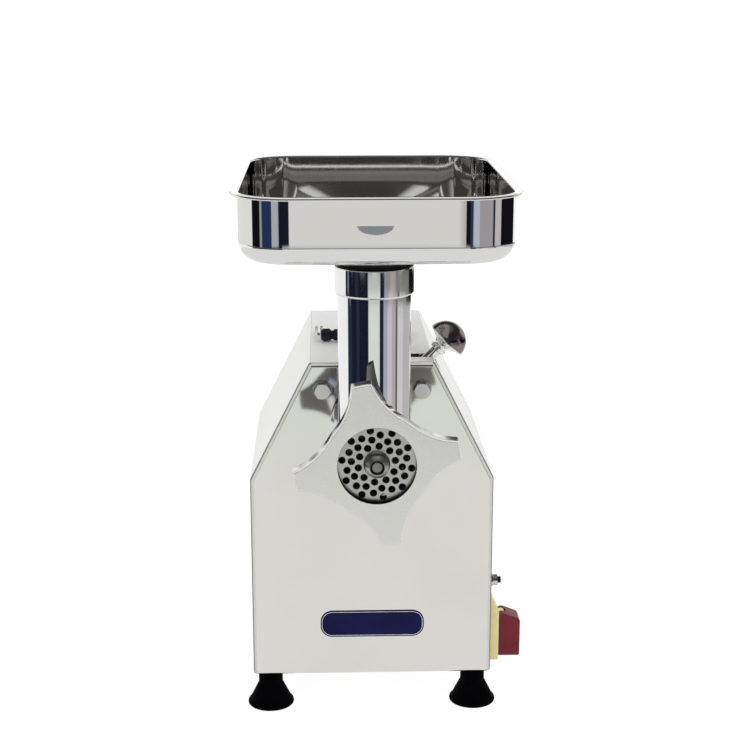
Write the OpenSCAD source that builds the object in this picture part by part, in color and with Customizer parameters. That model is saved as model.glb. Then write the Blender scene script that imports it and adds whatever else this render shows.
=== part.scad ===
// Table-top electric meat grinder: a sheet-steel housing on four rubber feet,
// with a motor and two-stage gear train inside, a removable grinding head at the
// front and a feed tray on top. +X is to the right, +Y to the back, +Z up. The
// origin is on the table, midway between the four feet.

/* [Housing] */
// Width of the housing
body_w = 215; // [205:1:235]
// Depth of the housing, front face to back cover
body_d = 222; // [218:1:260]
// Height of the upright part of the side walls
side_h = 185.5; // [180:0.5:215]
// Height of the sloping shoulders above the upright walls
slope_h = 105.3; // [100:0.1:115]
// Width of the flat top
top_w = 108.8; // [104:0.1:125]
// Thickness of the sheet steel
sheet_t = 1.5; // [1:0.1:2]
// Radius of the bend along the front edges
bend_r = 4; // [3:0.5:6]
// Radius of the folds between the walls
fold_r = 3; // [2.5:0.5:5]
// Width of the folded rim behind the back cover
back_rim = 14; // [11:1:20]

/* [Feet] */
// Height of a rubber foot, which is the clear height under the housing
foot_h = 34.6; // [26:0.1:45]
// Radius of a foot where it stands on the table
foot_r = 21; // [17:0.5:26]
// Radius of a foot's neck under the housing
foot_neck_r = 11; // [9:0.5:13]
// Distance of a foot's axis from the side wall
foot_in_x = 14.8; // [13.5:0.1:25]
// Distance of a foot's axis from the front face
foot_in_y = 17.9; // [15:0.1:30]
// Radius of the screw that holds a foot
foot_screw_r = 2.5; // [2:0.5:3]

/* [Grinding head] */
// Depth of the auger's axis below the flat top
head_drop = 52.6; // [51.5:0.1:58]
// Radius of the auger's flight
flight_r = 26.3; // [24:0.1:28]
// Radial gap between the flight and the barrel
flight_gap = 0.7; // [0.4:0.1:1]
// Wall of the barrel round the flight
barrel_wall = 6; // [5:0.5:8]
// Distance of the neck's axis in front of the housing
neck_out = 58.9; // [50:0.1:62]
// Outer radius of the neck
neck_r = 30; // [29:0.25:31]
// Bore radius of the neck
neck_bore_r = 26; // [25:0.25:27]
// Height of the neck's rim above the auger's axis
neck_h = 149.1; // [125:0.1:175]
// Outer radius of the collar round the neck's rim
collar_r = 32.25; // [31.5:0.25:36]
// Height of the collar
collar_h = 23.3; // [14:0.1:28]
// Radius of the seat in the collar that the tray's bead rests in
seat_r = 29.5; // [28.5:0.25:30.25]
// Depth of that seat
seat_deep = 6; // [3:0.5:10]
// Radius of the hub at the back of the barrel
hub_r = 28; // [27:0.25:29]
// Length of the hub that the gearbox socket holds
hub_l = 43; // [38:0.5:48]

/* [Plate, knife and ring nut] */
// Radius of the grinding plate
plate_r = 35; // [34:0.25:36]
// Thickness of the grinding plate
plate_t = 9; // [7:0.5:11]
// Distance of the plate's front face in front of the housing
plate_out = 122.9; // [120:0.1:138]
// Radius of one hole in the plate
plate_hole_r = 3; // [1.5:0.1:3.2]
// Radius of the plate's centre bore
plate_bore_r = 5.7; // [5.5:0.1:6.2]
// Distance that the hub in the plate's middle stands out
hub_out = 10.5; // [5:0.1:12]
// Thickness of the knife
knife_t = 8; // [6:0.5:9]
// Radius of the knife's blades
knife_r = 30.5; // [28:0.5:31.5]
// Thickness of the ring nut's lip in front of the plate
nut_lip = 5.9; // [3:0.1:7]
// Radius of the opening in the ring nut
nut_mouth_r = 31.75; // [30.5:0.25:32.5]
// Radius of the ring nut between its lobes
nut_base_r = 43.7; // [42.5:0.1:46]
// Radius to the tips of the ring nut's lobes
nut_tip_r = 67.3; // [60:0.1:72]
// Radius of the hollow sides of the lobes
lobe_side_r = 60; // [50:1:75]
// Thickness of the lobes
lobe_t = 14; // [10:0.5:16]
// Turn of the ring nut at rest, in degrees
nut_turn = 10.7; // [0:0.1:45]

/* [Feed tray] */
// Width of the tray over its rim
tray_w = 217.5; // [190:0.5:240]
// Length of the tray over its rim
tray_l = 287; // [240:1:300]
// Depth of the tray
tray_h = 53.6; // [42:0.1:65]
// Radius of the rim's corners
tray_corner_r = 46; // [40:1:60]
// Width of the flat rim outside the tray's walls
tray_lip = 4.7; // [4.5:0.1:12]
// Thickness of the tray's sheet
tray_t = 1.2; // [0.8:0.1:2]
// Radius between the tray's walls and floor
tray_fillet = 13; // [10:0.5:28]
// Height of the throat between the collar and the tray's floor
throat_h = 19.6; // [14:0.1:30]
// Length of the spigot in the neck
spigot_l = 24; // [15:1:40]

/* [Drive] */
// Module of the gears between the motor and the layshaft
fast_module = 1.5; // [1.4:0.05:1.55]
// Module of the gears between the layshaft and the output shaft
slow_module = 1.75; // [1.6:0.05:1.8]
// Teeth of the motor pinion and of the layshaft pinion
pinion_teeth = 18; // [17:1:19]
// Teeth of the large gear on the layshaft
fast_teeth = 54; // [50:1:55]
// Teeth of the output gear
slow_teeth = 45; // [42:1:46]
// Radius of the motor's casing
motor_r = 58; // [50:0.5:62]
// Gap between the motor's tail shaft and the back cover
tail_gap = 5.5; // [4:0.5:12]
// Width across the flats of the auger's drive square
drive_af = 15; // [13:0.5:16]

/* [Locking screw] */
// Distance of the locking screw behind the front face
lock_in = 27; // [24:0.5:30]
// Radius of the locking screw
lock_r = 5; // [4:0.5:6]
// Distance from the auger's axis to the top of the knob
knob_reach = 110.5; // [106:0.5:125]
// Radius of the knob's dome
knob_r = 18; // [14:0.5:22]
// Height of the knob's dome
knob_h = 17; // [12:0.5:20]

/* [Carry handle] */
// Overall length of the handle across the housing
handle_l = 86; // [78:1:92]
// Distance of the handle's middle to the left of the housing's middle
handle_left = 5.5; // [0:0.5:6]
// Radius of the handle's grip
grip_r = 5.8; // [5.3:0.1:7]
// Distance of the grip behind the front face when it lies flat
grip_in = 84; // [70:1:95]
// Length of the handle's arms, hinge to grip
arm_l = 32; // [30:1:55]
// Radius of the handle's steel rod
rod_r = 2; // [1.75:0.25:2.25]

/* [Switch, breaker and inlet] */
// Height of the switch's base above the housing's lower edge
switch_up = 4; // [2:0.1:10]
// Height of the switch's base
switch_h = 59.6; // [58:0.1:70]
// Width of the switch's base along the side wall
switch_w = 22; // [22:0.5:40]
// Distance of the switch behind the front face
switch_in = 18; // [12:1:30]
// Thickness of the switch's base
switch_t = 9; // [8:0.5:12]
// Depth of the switch's hinged cover
flap_t = 19.6; // [18:0.1:26]
// Height of the switch's hinged cover
flap_h = 41.2; // [38:0.1:42]
// Height of the overload reset above the housing's lower edge
reset_up = 80.4; // [78:0.1:100]
// Distance of the overload reset behind the front face
reset_in = 24; // [18:1:40]
// Bore radius of the cable gland
gland_bore_r = 4.2; // [3:0.1:5]

/* [Badge] */
// Width of the blank badge
badge_w = 93; // [60:1:110]
// Height of the blank badge
badge_h = 25; // [15:1:30]
// Radius of the badge's corners
badge_corner_r = 10.5; // [3:0.5:12]
// Height of the badge's middle above the housing's lower edge
badge_up = 49.4; // [40:0.1:80]

/* [Hidden] */

$fn = 64;
eps = 0.01;
fit = 0.08; // radial clearance of a sliding or running fit
loose = 0.3; // clearance between parts that only pass each other
bolt_gap = 0.2; // clearance round a bolt's shank

// Places that the sizes above lead to
front_y = -body_d / 2;
back_y = body_d / 2;
floor_z = foot_h;
shoulder_z = floor_z + side_h;
top_z = shoulder_z + slope_h;
head_z = top_z - head_drop;
inner_y = front_y + sheet_t;
cover_y = back_y - sheet_t;
base_z = floor_z + sheet_t;
steel = [0.84, 0.84, 0.82];
polished = [0.78, 0.79, 0.8];
cast_grey = [0.62, 0.63, 0.64];
black = [0.07, 0.07, 0.08];
red = [0.6, 0.14, 0.18];
yellow = [0.92, 0.87, 0.55];

// ---------- outlines and solids ----------

function unit(v) = v / norm(v);
function at(r, a) = r * [cos(a), sin(a)];
function arc(c, r, a0, a1, n) = [for (i = [0:n]) c + at(r, a0 + (a1 - a0) * i / n)];
function shortest(a) = a > 180 ? a - 360 : a < -180 ? a + 360 : a;
function acos_between(u, w) = acos(max(-1, min(1, u * w)));

// One corner q of an outline, between p and s, rounded to radius r
function corner(p, q, s, r, n) =
    let (u = unit(p - q), w = unit(s - q), half = acos_between(u, w) / 2)
    let (c = q + unit(u + w) * r / sin(half), from = q + u * r / tan(half) - c)
    let (to = q + w * r / tan(half) - c, a0 = atan2(from.y, from.x))
    let (turn = shortest(atan2(to.y, to.x) - a0))
    [for (i = [0:n]) c + at(r, a0 + turn * i / n)];
function rounded(pts, r, n = 5) =
    let (m = len(pts))
    [for (i = [0:m - 1]) each corner(pts[(i + m - 1) % m], pts[i], pts[(i + 1) % m], r, n)];
// A convex outline moved inwards by d
function inset(pts, d) =
    let (m = len(pts))
    [for (i = [0:m - 1])
        let (u = unit(pts[(i + m - 1) % m] - pts[i]), w = unit(pts[(i + 1) % m] - pts[i]))
        pts[i] + unit(u + w) * d / sin(acos_between(u, w) / 2)];
function rect(w, l) = [[-w / 2, -l / 2], [w / 2, -l / 2], [w / 2, l / 2], [-w / 2, l / 2]];
function lift(pts, z) = [for (p = pts) [p.x, p.y, z]];

// A solid skinned over rings of points that run upwards
module loft(rings) {
    n = len(rings[0]);
    m = len(rings);
    sides = [for (k = [0:m - 2], i = [0:n - 1])
        [k * n + i, (k + 1) * n + i, (k + 1) * n + (i + 1) % n, k * n + (i + 1) % n]];
    bottom = [for (i = [0:n - 1]) i];
    top = [for (i = [n - 1:-1:0]) (m - 1) * n + i];
    polyhedron([for (r = rings) each r], concat([bottom], sides, [top]), convexity = 8);
}

// Turns a solid drawn upwards from z = 0 so that it runs along -Y from y, with its own
// x and y along X and Z
module facing_front(y, x = 0, z = 0) {
    translate([x, y, z]) rotate([90, 0, 0]) children();
}
// The same along +X, with its own x and y along Y and Z
module facing_right(x, y = 0, z = 0) {
    translate([x, y, z]) rotate([90, 0, 90]) children();
}
module rod_y(r, y0, y1, x = 0, z = 0) {
    facing_front(y1, x, z) cylinder(r = r, h = y1 - y0);
}
module ring_y(ro, ri, y0, y1, x = 0, z = 0) {
    difference() {
        rod_y(ro, y0, y1, x, z);
        rod_y(ri, y0 - 1, y1 + 1, x, z);
    }
}
module rod_x(r, x0, x1, y = 0, z = 0) {
    facing_right(x0, y, z) cylinder(r = r, h = x1 - x0);
}
module plate_y(pts, y0, y1) {
    facing_front(y1) linear_extrude(y1 - y0) polygon(pts);
}
module block(x0, x1, y0, y1, z0, z1) {
    translate([x0, y0, z0]) cube([x1 - x0, y1 - y0, z1 - z0]);
}
module hex_y(af, y0, y1, x = 0, z = 0) {
    facing_front(y1, x, z) cylinder(r = af / sqrt(3), h = y1 - y0, $fn = 6);
}

// ---------- housing ----------

housing_outline = [
    [-body_w / 2, floor_z], [body_w / 2, floor_z], [body_w / 2, shoulder_z],
    [top_w / 2, top_z], [-top_w / 2, top_z], [-body_w / 2, shoulder_z]
];
slope_a = atan2(slope_h, (body_w - top_w) / 2);
function housing_ring(d, y) = lift(rounded(inset(housing_outline, d), max(fold_r - d, 0.6)), -y);

// The housing's form, d inside its outer faces, from its front to y1
module housing_form(d, y1) {
    bend = bend_r - d;
    steps = 5;
    rotate([90, 0, 0]) loft(concat(
        [housing_ring(d, y1)],
        [for (i = [0:steps]) let (a = 90 * i / steps)
            housing_ring(d + bend * (1 - cos(a)), front_y + d + bend * (1 - sin(a)))]
    ));
}

// Panel bolts: an upper pair beside the neck and a lower pair behind the ring nut
bolt_x = 43;
bolt_zs = [head_z + 28.7, head_z - 40.8];
bolt_shank_r = 4;
bolt_af = 13;
bolt_head_h = 5.3;
washer_t = 1.6;
washer_r = 8.5;
cover_screw_r = 2;
rivet_r = 2;
base_flange_h = 14;

module at_panel_bolts() {
    for (x = [-bolt_x, bolt_x], z = bolt_zs) translate([x, 0, z]) children();
}
cover_screw_places = [
    for (s = [-1, 1]) each [
        [s * (body_w / 2 - back_rim / 2), base_z + base_flange_h + 8],
        [s * (body_w / 2 - back_rim / 2), shoulder_z - 22],
        [s * (top_w / 2 - 18), top_z - back_rim / 2]
    ]
];
module at_cover_screws() {
    for (p = cover_screw_places) translate([p.x, 0, p.y]) children();
}
base_screw_ys = [-body_d / 2 + 90, body_d / 2 - 26];
base_screw_z = base_z + base_flange_h / 2;
base_screw_r = 2;

// The locking screw stands at 45 degrees to the auger's axis
lock_y = front_y + lock_in;
module along_lock(r0) {
    translate([0, lock_y, head_z]) rotate([0, 45, 0]) translate([0, 0, r0]) children();
}
lock_slot_w = 2 * lock_r + 3;

switch_z0 = floor_z + switch_up;
switch_y0 = front_y + switch_in;
switch_y1 = switch_y0 + switch_w;
switch_face_x = body_w / 2 + switch_t;
block_in = 3.5;
block_z0 = base_z + base_flange_h + 1;
block_z1 = switch_z0 + switch_h - 10.3;
reset_y = front_y + reset_in;
reset_z = floor_z + reset_up;
breaker_r = 4;

handle_y = front_y + grip_in;
hinge_y = handle_y + arm_l;
grip_z = top_z + grip_r + loose;
arm_x = handle_l / 2 - rod_r;

module housing_shell() color(steel) difference() {
    union() {
        difference() {
            housing_form(0, cover_y);
            difference() {
                housing_form(sheet_t, cover_y + 1);
                difference() {
                    plate_y(housing_outline, cover_y - sheet_t, cover_y + 2);
                    plate_y(inset(housing_outline, back_rim), cover_y - sheet_t - 1, cover_y + 3);
                }
            }
            block(-body_w / 2 + sheet_t, body_w / 2 - sheet_t, inner_y, cover_y + 1,
                  floor_z - 1, floor_z + back_rim);
        }
    }
    rod_y(hub_r + 1.5, front_y - 1, inner_y + 1, 0, head_z);
    at_panel_bolts() rod_y(bolt_shank_r + bolt_gap, front_y - 1, inner_y + 1);
    at_cover_screws() rod_y(cover_screw_r + bolt_gap, cover_y - sheet_t - 1, cover_y + 1);
    for (s = [-1, 1], y = base_screw_ys)
        rod_x(base_screw_r + bolt_gap, s * body_w / 2 - 4, s * body_w / 2 + 4, y, base_screw_z);
    // slot that the locking screw passes through, open to the fold
    block(top_w / 2 - 20, top_w / 2 + 8, lock_y - lock_slot_w / 2, lock_y + lock_slot_w / 2,
          top_z - 12, top_z + 1);
    // opening behind the switch, and the hole for the overload breaker
    block(body_w / 2 - 3, body_w / 2 + 1, switch_y0 + block_in, switch_y1 - block_in,
          block_z0 - loose, block_z1 + loose);
    rod_x(breaker_r + bolt_gap, body_w / 2 - 3, body_w / 2 + 1, reset_y, reset_z);
    at_handle() for (s = [-1, 1]) at_bracket_rivets(s) cylinder(r = rivet_r + bolt_gap, h = 8, center = true);
}

// Louvres pressed into the back cover
louvre_l = 62;
louvre_r = 4;
louvre_pitch = 13;
louvre_rows = 7;
louvre_z0 = floor_z + 70;
gland_x = -body_w / 2 + 38;
gland_z = floor_z + 30;
gland_r = 9;

module louvre_hood(x, z) {
    intersection() {
        difference() {
            rod_x(louvre_r, x - louvre_l / 2, x + louvre_l / 2, back_y - 1, z);
            rod_x(louvre_r - 1, x - louvre_l / 2 + 1.5, x + louvre_l / 2 - 1.5, back_y - 1, z);
        }
        block(x - louvre_l, x + louvre_l, back_y, back_y + louvre_r, z, z + louvre_r + 1);
    }
}

module rear_cover() color(steel) {
    columns = [-louvre_l / 2 - 5, louvre_l / 2 + 5];
    difference() {
        plate_y(rounded(inset(housing_outline, 0.2), fold_r), cover_y, back_y);
        for (x = columns, i = [0:louvre_rows - 1])
            block(x - louvre_l / 2 + 1.5, x + louvre_l / 2 - 1.5, cover_y - 1, back_y + 1,
                  louvre_z0 + i * louvre_pitch - 1, louvre_z0 + i * louvre_pitch + louvre_r - 1.2);
        at_cover_screws() rod_y(cover_screw_r + bolt_gap, cover_y - 1, back_y + 1);
        rod_y(gland_r + bolt_gap, cover_y - 1, back_y + 1, gland_x, gland_z);
    }
    for (x = columns, i = [0:louvre_rows - 1]) louvre_hood(x, louvre_z0 + i * louvre_pitch);
}

// A pan-head screw along -Y with its head's seat at y
module pan_screw_y(r, y, l) {
    rod_y(r, y - l, y + 0.4);
    difference() {
        translate([0, y, 0]) rotate([-90, 0, 0]) cylinder(r1 = r * 2, r2 = r * 1.5, h = 2.2);
        block(-r * 1.2, r * 1.2, y + 1.2, y + 3, -0.4, 0.4);
        block(-0.4, 0.4, y + 1.2, y + 3, -r * 1.2, r * 1.2);
    }
}
module rear_cover_screws() color(polished) at_cover_screws() pan_screw_y(cover_screw_r, back_y, 7);

module base_plate() color(steel) difference() {
    half_x = body_w / 2 - sheet_t - 0.05;
    y0 = inner_y + 3;
    y1 = cover_y - sheet_t - 1;
    block(-half_x, half_x, y0, y1, floor_z, floor_z + sheet_t + base_flange_h);
    block(-half_x + sheet_t, half_x - sheet_t, y0 + sheet_t, y1 - sheet_t,
          base_z, base_z + base_flange_h + 1);
    block(-half_x + 12, half_x - 12, y0 - 1, y1 + 1, base_z + 4, base_z + base_flange_h + 1);
    for (x = foot_xs, y = foot_ys) translate([x, y, floor_z - 1])
        cylinder(r = foot_screw_r + bolt_gap, h = 4);
    for (s = [-1, 1], y = base_screw_ys)
        rod_x(base_screw_r + bolt_gap, s * half_x - 3, s * half_x + 3, y, base_screw_z);
    // ventilation slots
    for (x = [-40:16:40]) block(x - 2.5, x + 2.5, 25, 70, floor_z - 1, base_z + 1);
}

module base_screws() color(polished) for (s = [-1, 1], y = base_screw_ys)
    translate([s * body_w / 2, y, base_screw_z]) rotate([0, s * 90, 0]) {
        translate([0, 0, -8]) cylinder(r = base_screw_r, h = 8.2);
        difference() {
            cylinder(r1 = base_screw_r * 2, r2 = base_screw_r * 1.5, h = 2);
            translate([-0.4, -base_screw_r, 1.1]) cube([0.8, 2 * base_screw_r, 2]);
        }
    }

foot_xs = [-body_w / 2 + foot_in_x, body_w / 2 - foot_in_x];
foot_ys = [front_y + foot_in_y, back_y - foot_in_y];
foot_base = 3;
foot_recess_r = 7;

module foot(x, y) color(black) translate([x, y, 0]) {
    edge = 1.5;
    neck_z = foot_h * 0.6;
    difference() {
        rotate_extrude() polygon(concat(
            [[0, 0], [foot_r - edge, 0]],
            arc([foot_r - edge, edge], edge, -90, 0, 3),
            [[foot_r - 0.3, foot_base], [foot_r - 1.6, foot_base + 0.8]],
            [[foot_neck_r, neck_z], [foot_neck_r, foot_h], [0, foot_h]]
        ));
        translate([0, 0, -1]) cylinder(r = foot_recess_r, h = foot_h * 0.35 + 1);
        translate([0, 0, -1]) cylinder(r = foot_screw_r + bolt_gap, h = foot_h + 2);
    }
}
module foot_front_left() foot(foot_xs[0], foot_ys[0]);
module foot_front_right() foot(foot_xs[1], foot_ys[0]);
module foot_rear_left() foot(foot_xs[0], foot_ys[1]);
module foot_rear_right() foot(foot_xs[1], foot_ys[1]);

module foot_screws() color(polished) for (x = foot_xs, y = foot_ys) translate([x, y, 0]) {
    seat_z = foot_h * 0.35;
    translate([0, 0, seat_z]) cylinder(r = foot_screw_r, h = base_z + 2 - seat_z);
    translate([0, 0, seat_z - 3]) cylinder(r = foot_screw_r * 2, h = 3);
    translate([0, 0, base_z]) cylinder(r = foot_screw_r * 2, h = 4, $fn = 6);
}

// A blank plate with a raised border
module badge() color([0.12, 0.16, 0.4]) facing_front(front_y, 0, floor_z + badge_up) {
    border = 1.2;
    r = badge_corner_r;
    linear_extrude(0.6) polygon(rounded(rect(badge_w, badge_h), r, 12));
    difference() {
        linear_extrude(1) polygon(rounded(rect(badge_w, badge_h), r, 12));
        translate([0, 0, -1]) linear_extrude(3)
            polygon(rounded(rect(badge_w - 2 * border, badge_h - 2 * border), r - border, 12));
    }
}

// ---------- gear train ----------

pressure_a = 20;
backlash = 0.12;
slow_r = slow_module * slow_teeth / 2;
slow_pinion_r = slow_module * pinion_teeth / 2;
fast_r = fast_module * fast_teeth / 2;
fast_pinion_r = fast_module * pinion_teeth / 2;
layshaft_z = head_z - slow_r - slow_pinion_r;
motor_z = layshaft_z - fast_r - fast_pinion_r;

// Places along the gear train, front to back
socket_y = front_y + hub_l + 4;
bearing_w = 11;
case_wall = 4.5;
shaft_y = socket_y;
chamber_y = socket_y + 14;
slow_y0 = chamber_y + 2;
slow_w = 16;
fast_y0 = slow_y0 + slow_w + 2;
fast_w = 12;
cover_front_y = fast_y0 + fast_w + 4;
cover_back_y = cover_front_y + bearing_w;
bell_l = 13;
can_y0 = cover_back_y + bell_l;
fan_w = 10;
shaft_end_y = cover_y - tail_gap;
fan_y0 = shaft_end_y - 2 - fan_w;
can_y1 = fan_y0 - 3 - bell_l;

output_r = 15;
output_tail_r = 10;
output_bearing_r = 27;
tail_bearing_r = 21;
layshaft_r = 7.5;
layshaft_bearing_r = 17.5;
rotor_shaft_r = 7.5;
seat_gap = 0.03; // bearings on their shafts and in their seats

function involute(a) = tan(a) * 180 / PI - a;
// Points of one tooth's flank: radius and half-width angle from its middle
function flank(m, z, n) =
    let (rp = m * z / 2, rb = rp * cos(pressure_a), ra = rp + m, rf = rp - 1.25 * m)
    let (half = 90 / z - backlash / (2 * rp) * 180 / PI + involute(pressure_a))
    concat(
        [[rf, half - involute(acos(min(1, rb / max(rb, rf)))) + 90 / z * 0.12]],
        [for (i = [0:n]) let (r = max(rb, rf + 0.25 * m) + (ra - max(rb, rf + 0.25 * m)) * i / n)
            [r, half - involute(acos(min(1, rb / r)))]]
    );
module gear(m, z, w, bore_r, y, axis_z, mid_a) {
    side = flank(m, z, 4);
    k = len(side);
    facing_front(y + w, 0, axis_z) difference() {
        linear_extrude(w) polygon([for (t = [0:z - 1]) let (a = mid_a + 360 * t / z) each concat(
            [for (i = [0:k - 1]) at(side[i][0], a - side[i][1])],
            [for (i = [k - 1:-1:0]) at(side[i][0], a + side[i][1])]
        )]);
        if (bore_r > 0) translate([0, 0, -1]) cylinder(r = bore_r, h = w + 2);
    }
}

// Outline round circles that sit one above the other: [z, radius] pairs from the top down
module belt(rounds, y0, y1) {
    for (c = rounds) rod_y(c[1], y0, y1, 0, c[0]);
    for (i = [0:len(rounds) - 2]) {
        a = rounds[i];
        b = rounds[i + 1];
        tilt = asin((b[1] - a[1]) / (a[0] - b[0]));
        top_x = a[1] * cos(tilt);
        top_dz = a[1] * sin(tilt);
        low_x = b[1] * cos(tilt);
        low_dz = b[1] * sin(tilt);
        plate_y([
            [-low_x, b[0] + low_dz], [low_x, b[0] + low_dz],
            [top_x, a[0] + top_dz], [-top_x, a[0] + top_dz]
        ], y0, y1);
    }
}
function gear_space(wall) = [
    [head_z, slow_r + slow_module + 1.5 + wall],
    [layshaft_z, fast_r + fast_module + 1.5 + wall],
    [motor_z, fast_pinion_r + fast_module + 2 + wall]
];

socket_r = hub_r + 10;
flange_t = 12;
boss_top = 56;
case_screw_r = 2.5;
case_screw_spots = [
    for (s = [-1, 1]) each [
        [s * (slow_r + slow_module + 8), head_z + 14],
        [s * (fast_r + fast_module + 8), layshaft_z - 12]
    ]
];

module gearbox_casting() color(cast_grey) difference() {
    union() {
        // flange behind the front panel
        plate_y(rounded([
            [-bolt_x - 10, head_z - 52], [bolt_x + 10, head_z - 52],
            [bolt_x + 10, head_z + 39], [-bolt_x - 10, head_z + 39]
        ], 9), inner_y, inner_y + flange_t);
        rod_y(socket_r, inner_y, socket_y + 1, 0, head_z);
        // ribs from the flange to the gear case
        for (a = [0:90:270]) translate([0, 0, head_z]) rotate([0, a + 45, 0])
            block(-3, 3, inner_y + 1, socket_y + 1, socket_r - 4, socket_r + 3);
        belt(gear_space(case_wall), socket_y, cover_front_y);
        for (p = case_screw_spots) rod_y(7, socket_y + 4, cover_front_y, p.x, p.y);
        along_lock(socket_r - 4) cylinder(r = 11, h = boss_top - socket_r + 4);
    }
    belt(gear_space(0), chamber_y, cover_front_y + 1);
    rod_y(hub_r + fit, inner_y - 1, socket_y, 0, head_z);
    rod_y(output_r + 1.5, socket_y - 1, chamber_y + 1, 0, head_z);
    rod_y(output_bearing_r + seat_gap, chamber_y - bearing_w, chamber_y + 1, 0, head_z);
    rod_y(layshaft_bearing_r + seat_gap, chamber_y - bearing_w, chamber_y + 1, 0, layshaft_z);
    along_lock(0) cylinder(r = lock_r + fit, h = boss_top + 5);
    at_panel_bolts() rod_y(bolt_shank_r + 0.05, inner_y - 1, inner_y + flange_t + 8);
    for (p = case_screw_spots)
        rod_y(case_screw_r + 0.05, cover_front_y - 14, cover_front_y + 1, p.x, p.y);
}

module gearbox_cover() color(cast_grey) difference() {
    union() {
        belt(gear_space(case_wall), cover_front_y, cover_back_y - 4);
        rod_y(tail_bearing_r + 5, cover_front_y, cover_back_y, 0, head_z);
        rod_y(layshaft_bearing_r + 5, cover_front_y, cover_back_y, 0, layshaft_z);
        rod_y(motor_r - 4, cover_front_y, cover_back_y, 0, motor_z);
        for (p = case_screw_spots) rod_y(7, cover_front_y, cover_back_y - 4, p.x, p.y);
    }
    rod_y(tail_bearing_r + seat_gap, cover_front_y - 1, cover_back_y - 1.5, 0, head_z);
    rod_y(layshaft_bearing_r + seat_gap, cover_front_y - 1, cover_back_y - 1.5, 0, layshaft_z);
    rod_y(fast_pinion_r + fast_module + 1, cover_front_y - 1, cover_back_y + 1, 0, motor_z);
    for (p = case_screw_spots) rod_y(case_screw_r + bolt_gap, cover_front_y - 1, cover_back_y, p.x, p.y);
}

module gearbox_screws() color(polished) for (p = case_screw_spots) {
    rod_y(case_screw_r, cover_front_y - 12, cover_back_y - 4, p.x, p.y);
    difference() {
        rod_y(case_screw_r * 1.8, cover_back_y - 4, cover_back_y, p.x, p.y);
        hex_y(4, cover_back_y - 2, cover_back_y + 1, p.x, p.y);
    }
}

module panel_bolts() color(polished) at_panel_bolts() {
    intersection() {
        hex_y(bolt_af, front_y - washer_t - bolt_head_h, front_y - washer_t);
        facing_front(front_y - washer_t)
            cylinder(r1 = bolt_af / 2 + 2 * bolt_head_h, r2 = bolt_af / 2 - 0.3, h = bolt_head_h);
    }
    rod_y(bolt_shank_r, front_y - washer_t - 1, inner_y + flange_t + 3);
}
module panel_washers() color(polished) at_panel_bolts()
    ring_y(washer_r, bolt_shank_r + 0.25, front_y - washer_t, front_y);

// A ball bearing as its two rings with a shield between
module bearing(ro, ri, y0, w, z) {
    difference() {
        rod_y(ro, y0, y0 + w, 0, z);
        rod_y(ri, y0 - 1, y0 + w + 1, 0, z);
        for (y = [y0 - 1, y0 + w - 0.6])
            ring_y(ro - (ro - ri) * 0.3, ri + (ro - ri) * 0.3, y, y + 1.6, 0, z);
    }
}
module output_bearings() color(polished) {
    bearing(output_bearing_r, output_r + seat_gap, chamber_y - bearing_w, bearing_w, head_z);
    bearing(tail_bearing_r, output_tail_r + seat_gap, cover_front_y, bearing_w - 1.5, head_z);
}
module layshaft_bearings() color(polished) {
    bearing(layshaft_bearing_r, layshaft_r + seat_gap, chamber_y - bearing_w, bearing_w, layshaft_z);
    bearing(layshaft_bearing_r, layshaft_r + seat_gap, cover_front_y, bearing_w - 1.5, layshaft_z);
}

module output_shaft() color(polished) difference() {
    union() {
        rod_y(output_r, shaft_y + 0.5, slow_y0 + slow_w, 0, head_z);
        rod_y(output_r + 3, chamber_y + 0.5, slow_y0, 0, head_z);
        rod_y(output_tail_r, slow_y0 + slow_w - 1, cover_back_y - 2, 0, head_z);
    }
    translate([0, 0, head_z]) rotate([0, 45, 0])
        block(-drive_af / 2 - fit, drive_af / 2 + fit, shaft_y - 1, shaft_y + drive_l + 1,
              -drive_af / 2 - fit, drive_af / 2 + fit);
}
module output_gear() color(cast_grey)
    gear(slow_module, slow_teeth, slow_w, output_r + seat_gap, slow_y0, head_z, -90);

module layshaft() color(polished) {
    gear(slow_module, pinion_teeth, slow_w + 1, 0, slow_y0 - 0.5, layshaft_z, 90 + 180 / pinion_teeth);
    rod_y(layshaft_r, chamber_y - bearing_w + 1, slow_y0, 0, layshaft_z);
    rod_y(layshaft_r, slow_y0 + slow_w, cover_back_y - 3, 0, layshaft_z);
}
module layshaft_gear() color(cast_grey)
    gear(fast_module, fast_teeth, fast_w, layshaft_r + seat_gap, fast_y0, layshaft_z, -90);

// ---------- motor ----------

can_t = 3;
stator_r = motor_r - can_t - 0.05;
rotor_r = 32;
air_gap = 0.6;
core_y0 = can_y0 + 9;
core_y1 = can_y1 - 9;

module motor_casing() color([0.3, 0.33, 0.36]) difference() {
    union() {
        rod_y(motor_r, can_y0, can_y1, 0, motor_z);
        for (a = [-60:15:60]) translate([0, 0, motor_z]) rotate([0, a, 0])
            block(-1, 1, can_y0 + 5, can_y1 - 5, motor_r - 2, motor_r + 4);
    }
    rod_y(motor_r - can_t, can_y0 - 1, can_y1 + 1, 0, motor_z);
}
module motor_stator() color([0.55, 0.38, 0.25])
    ring_y(stator_r, rotor_r + air_gap, core_y0, core_y1, 0, motor_z);

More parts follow.
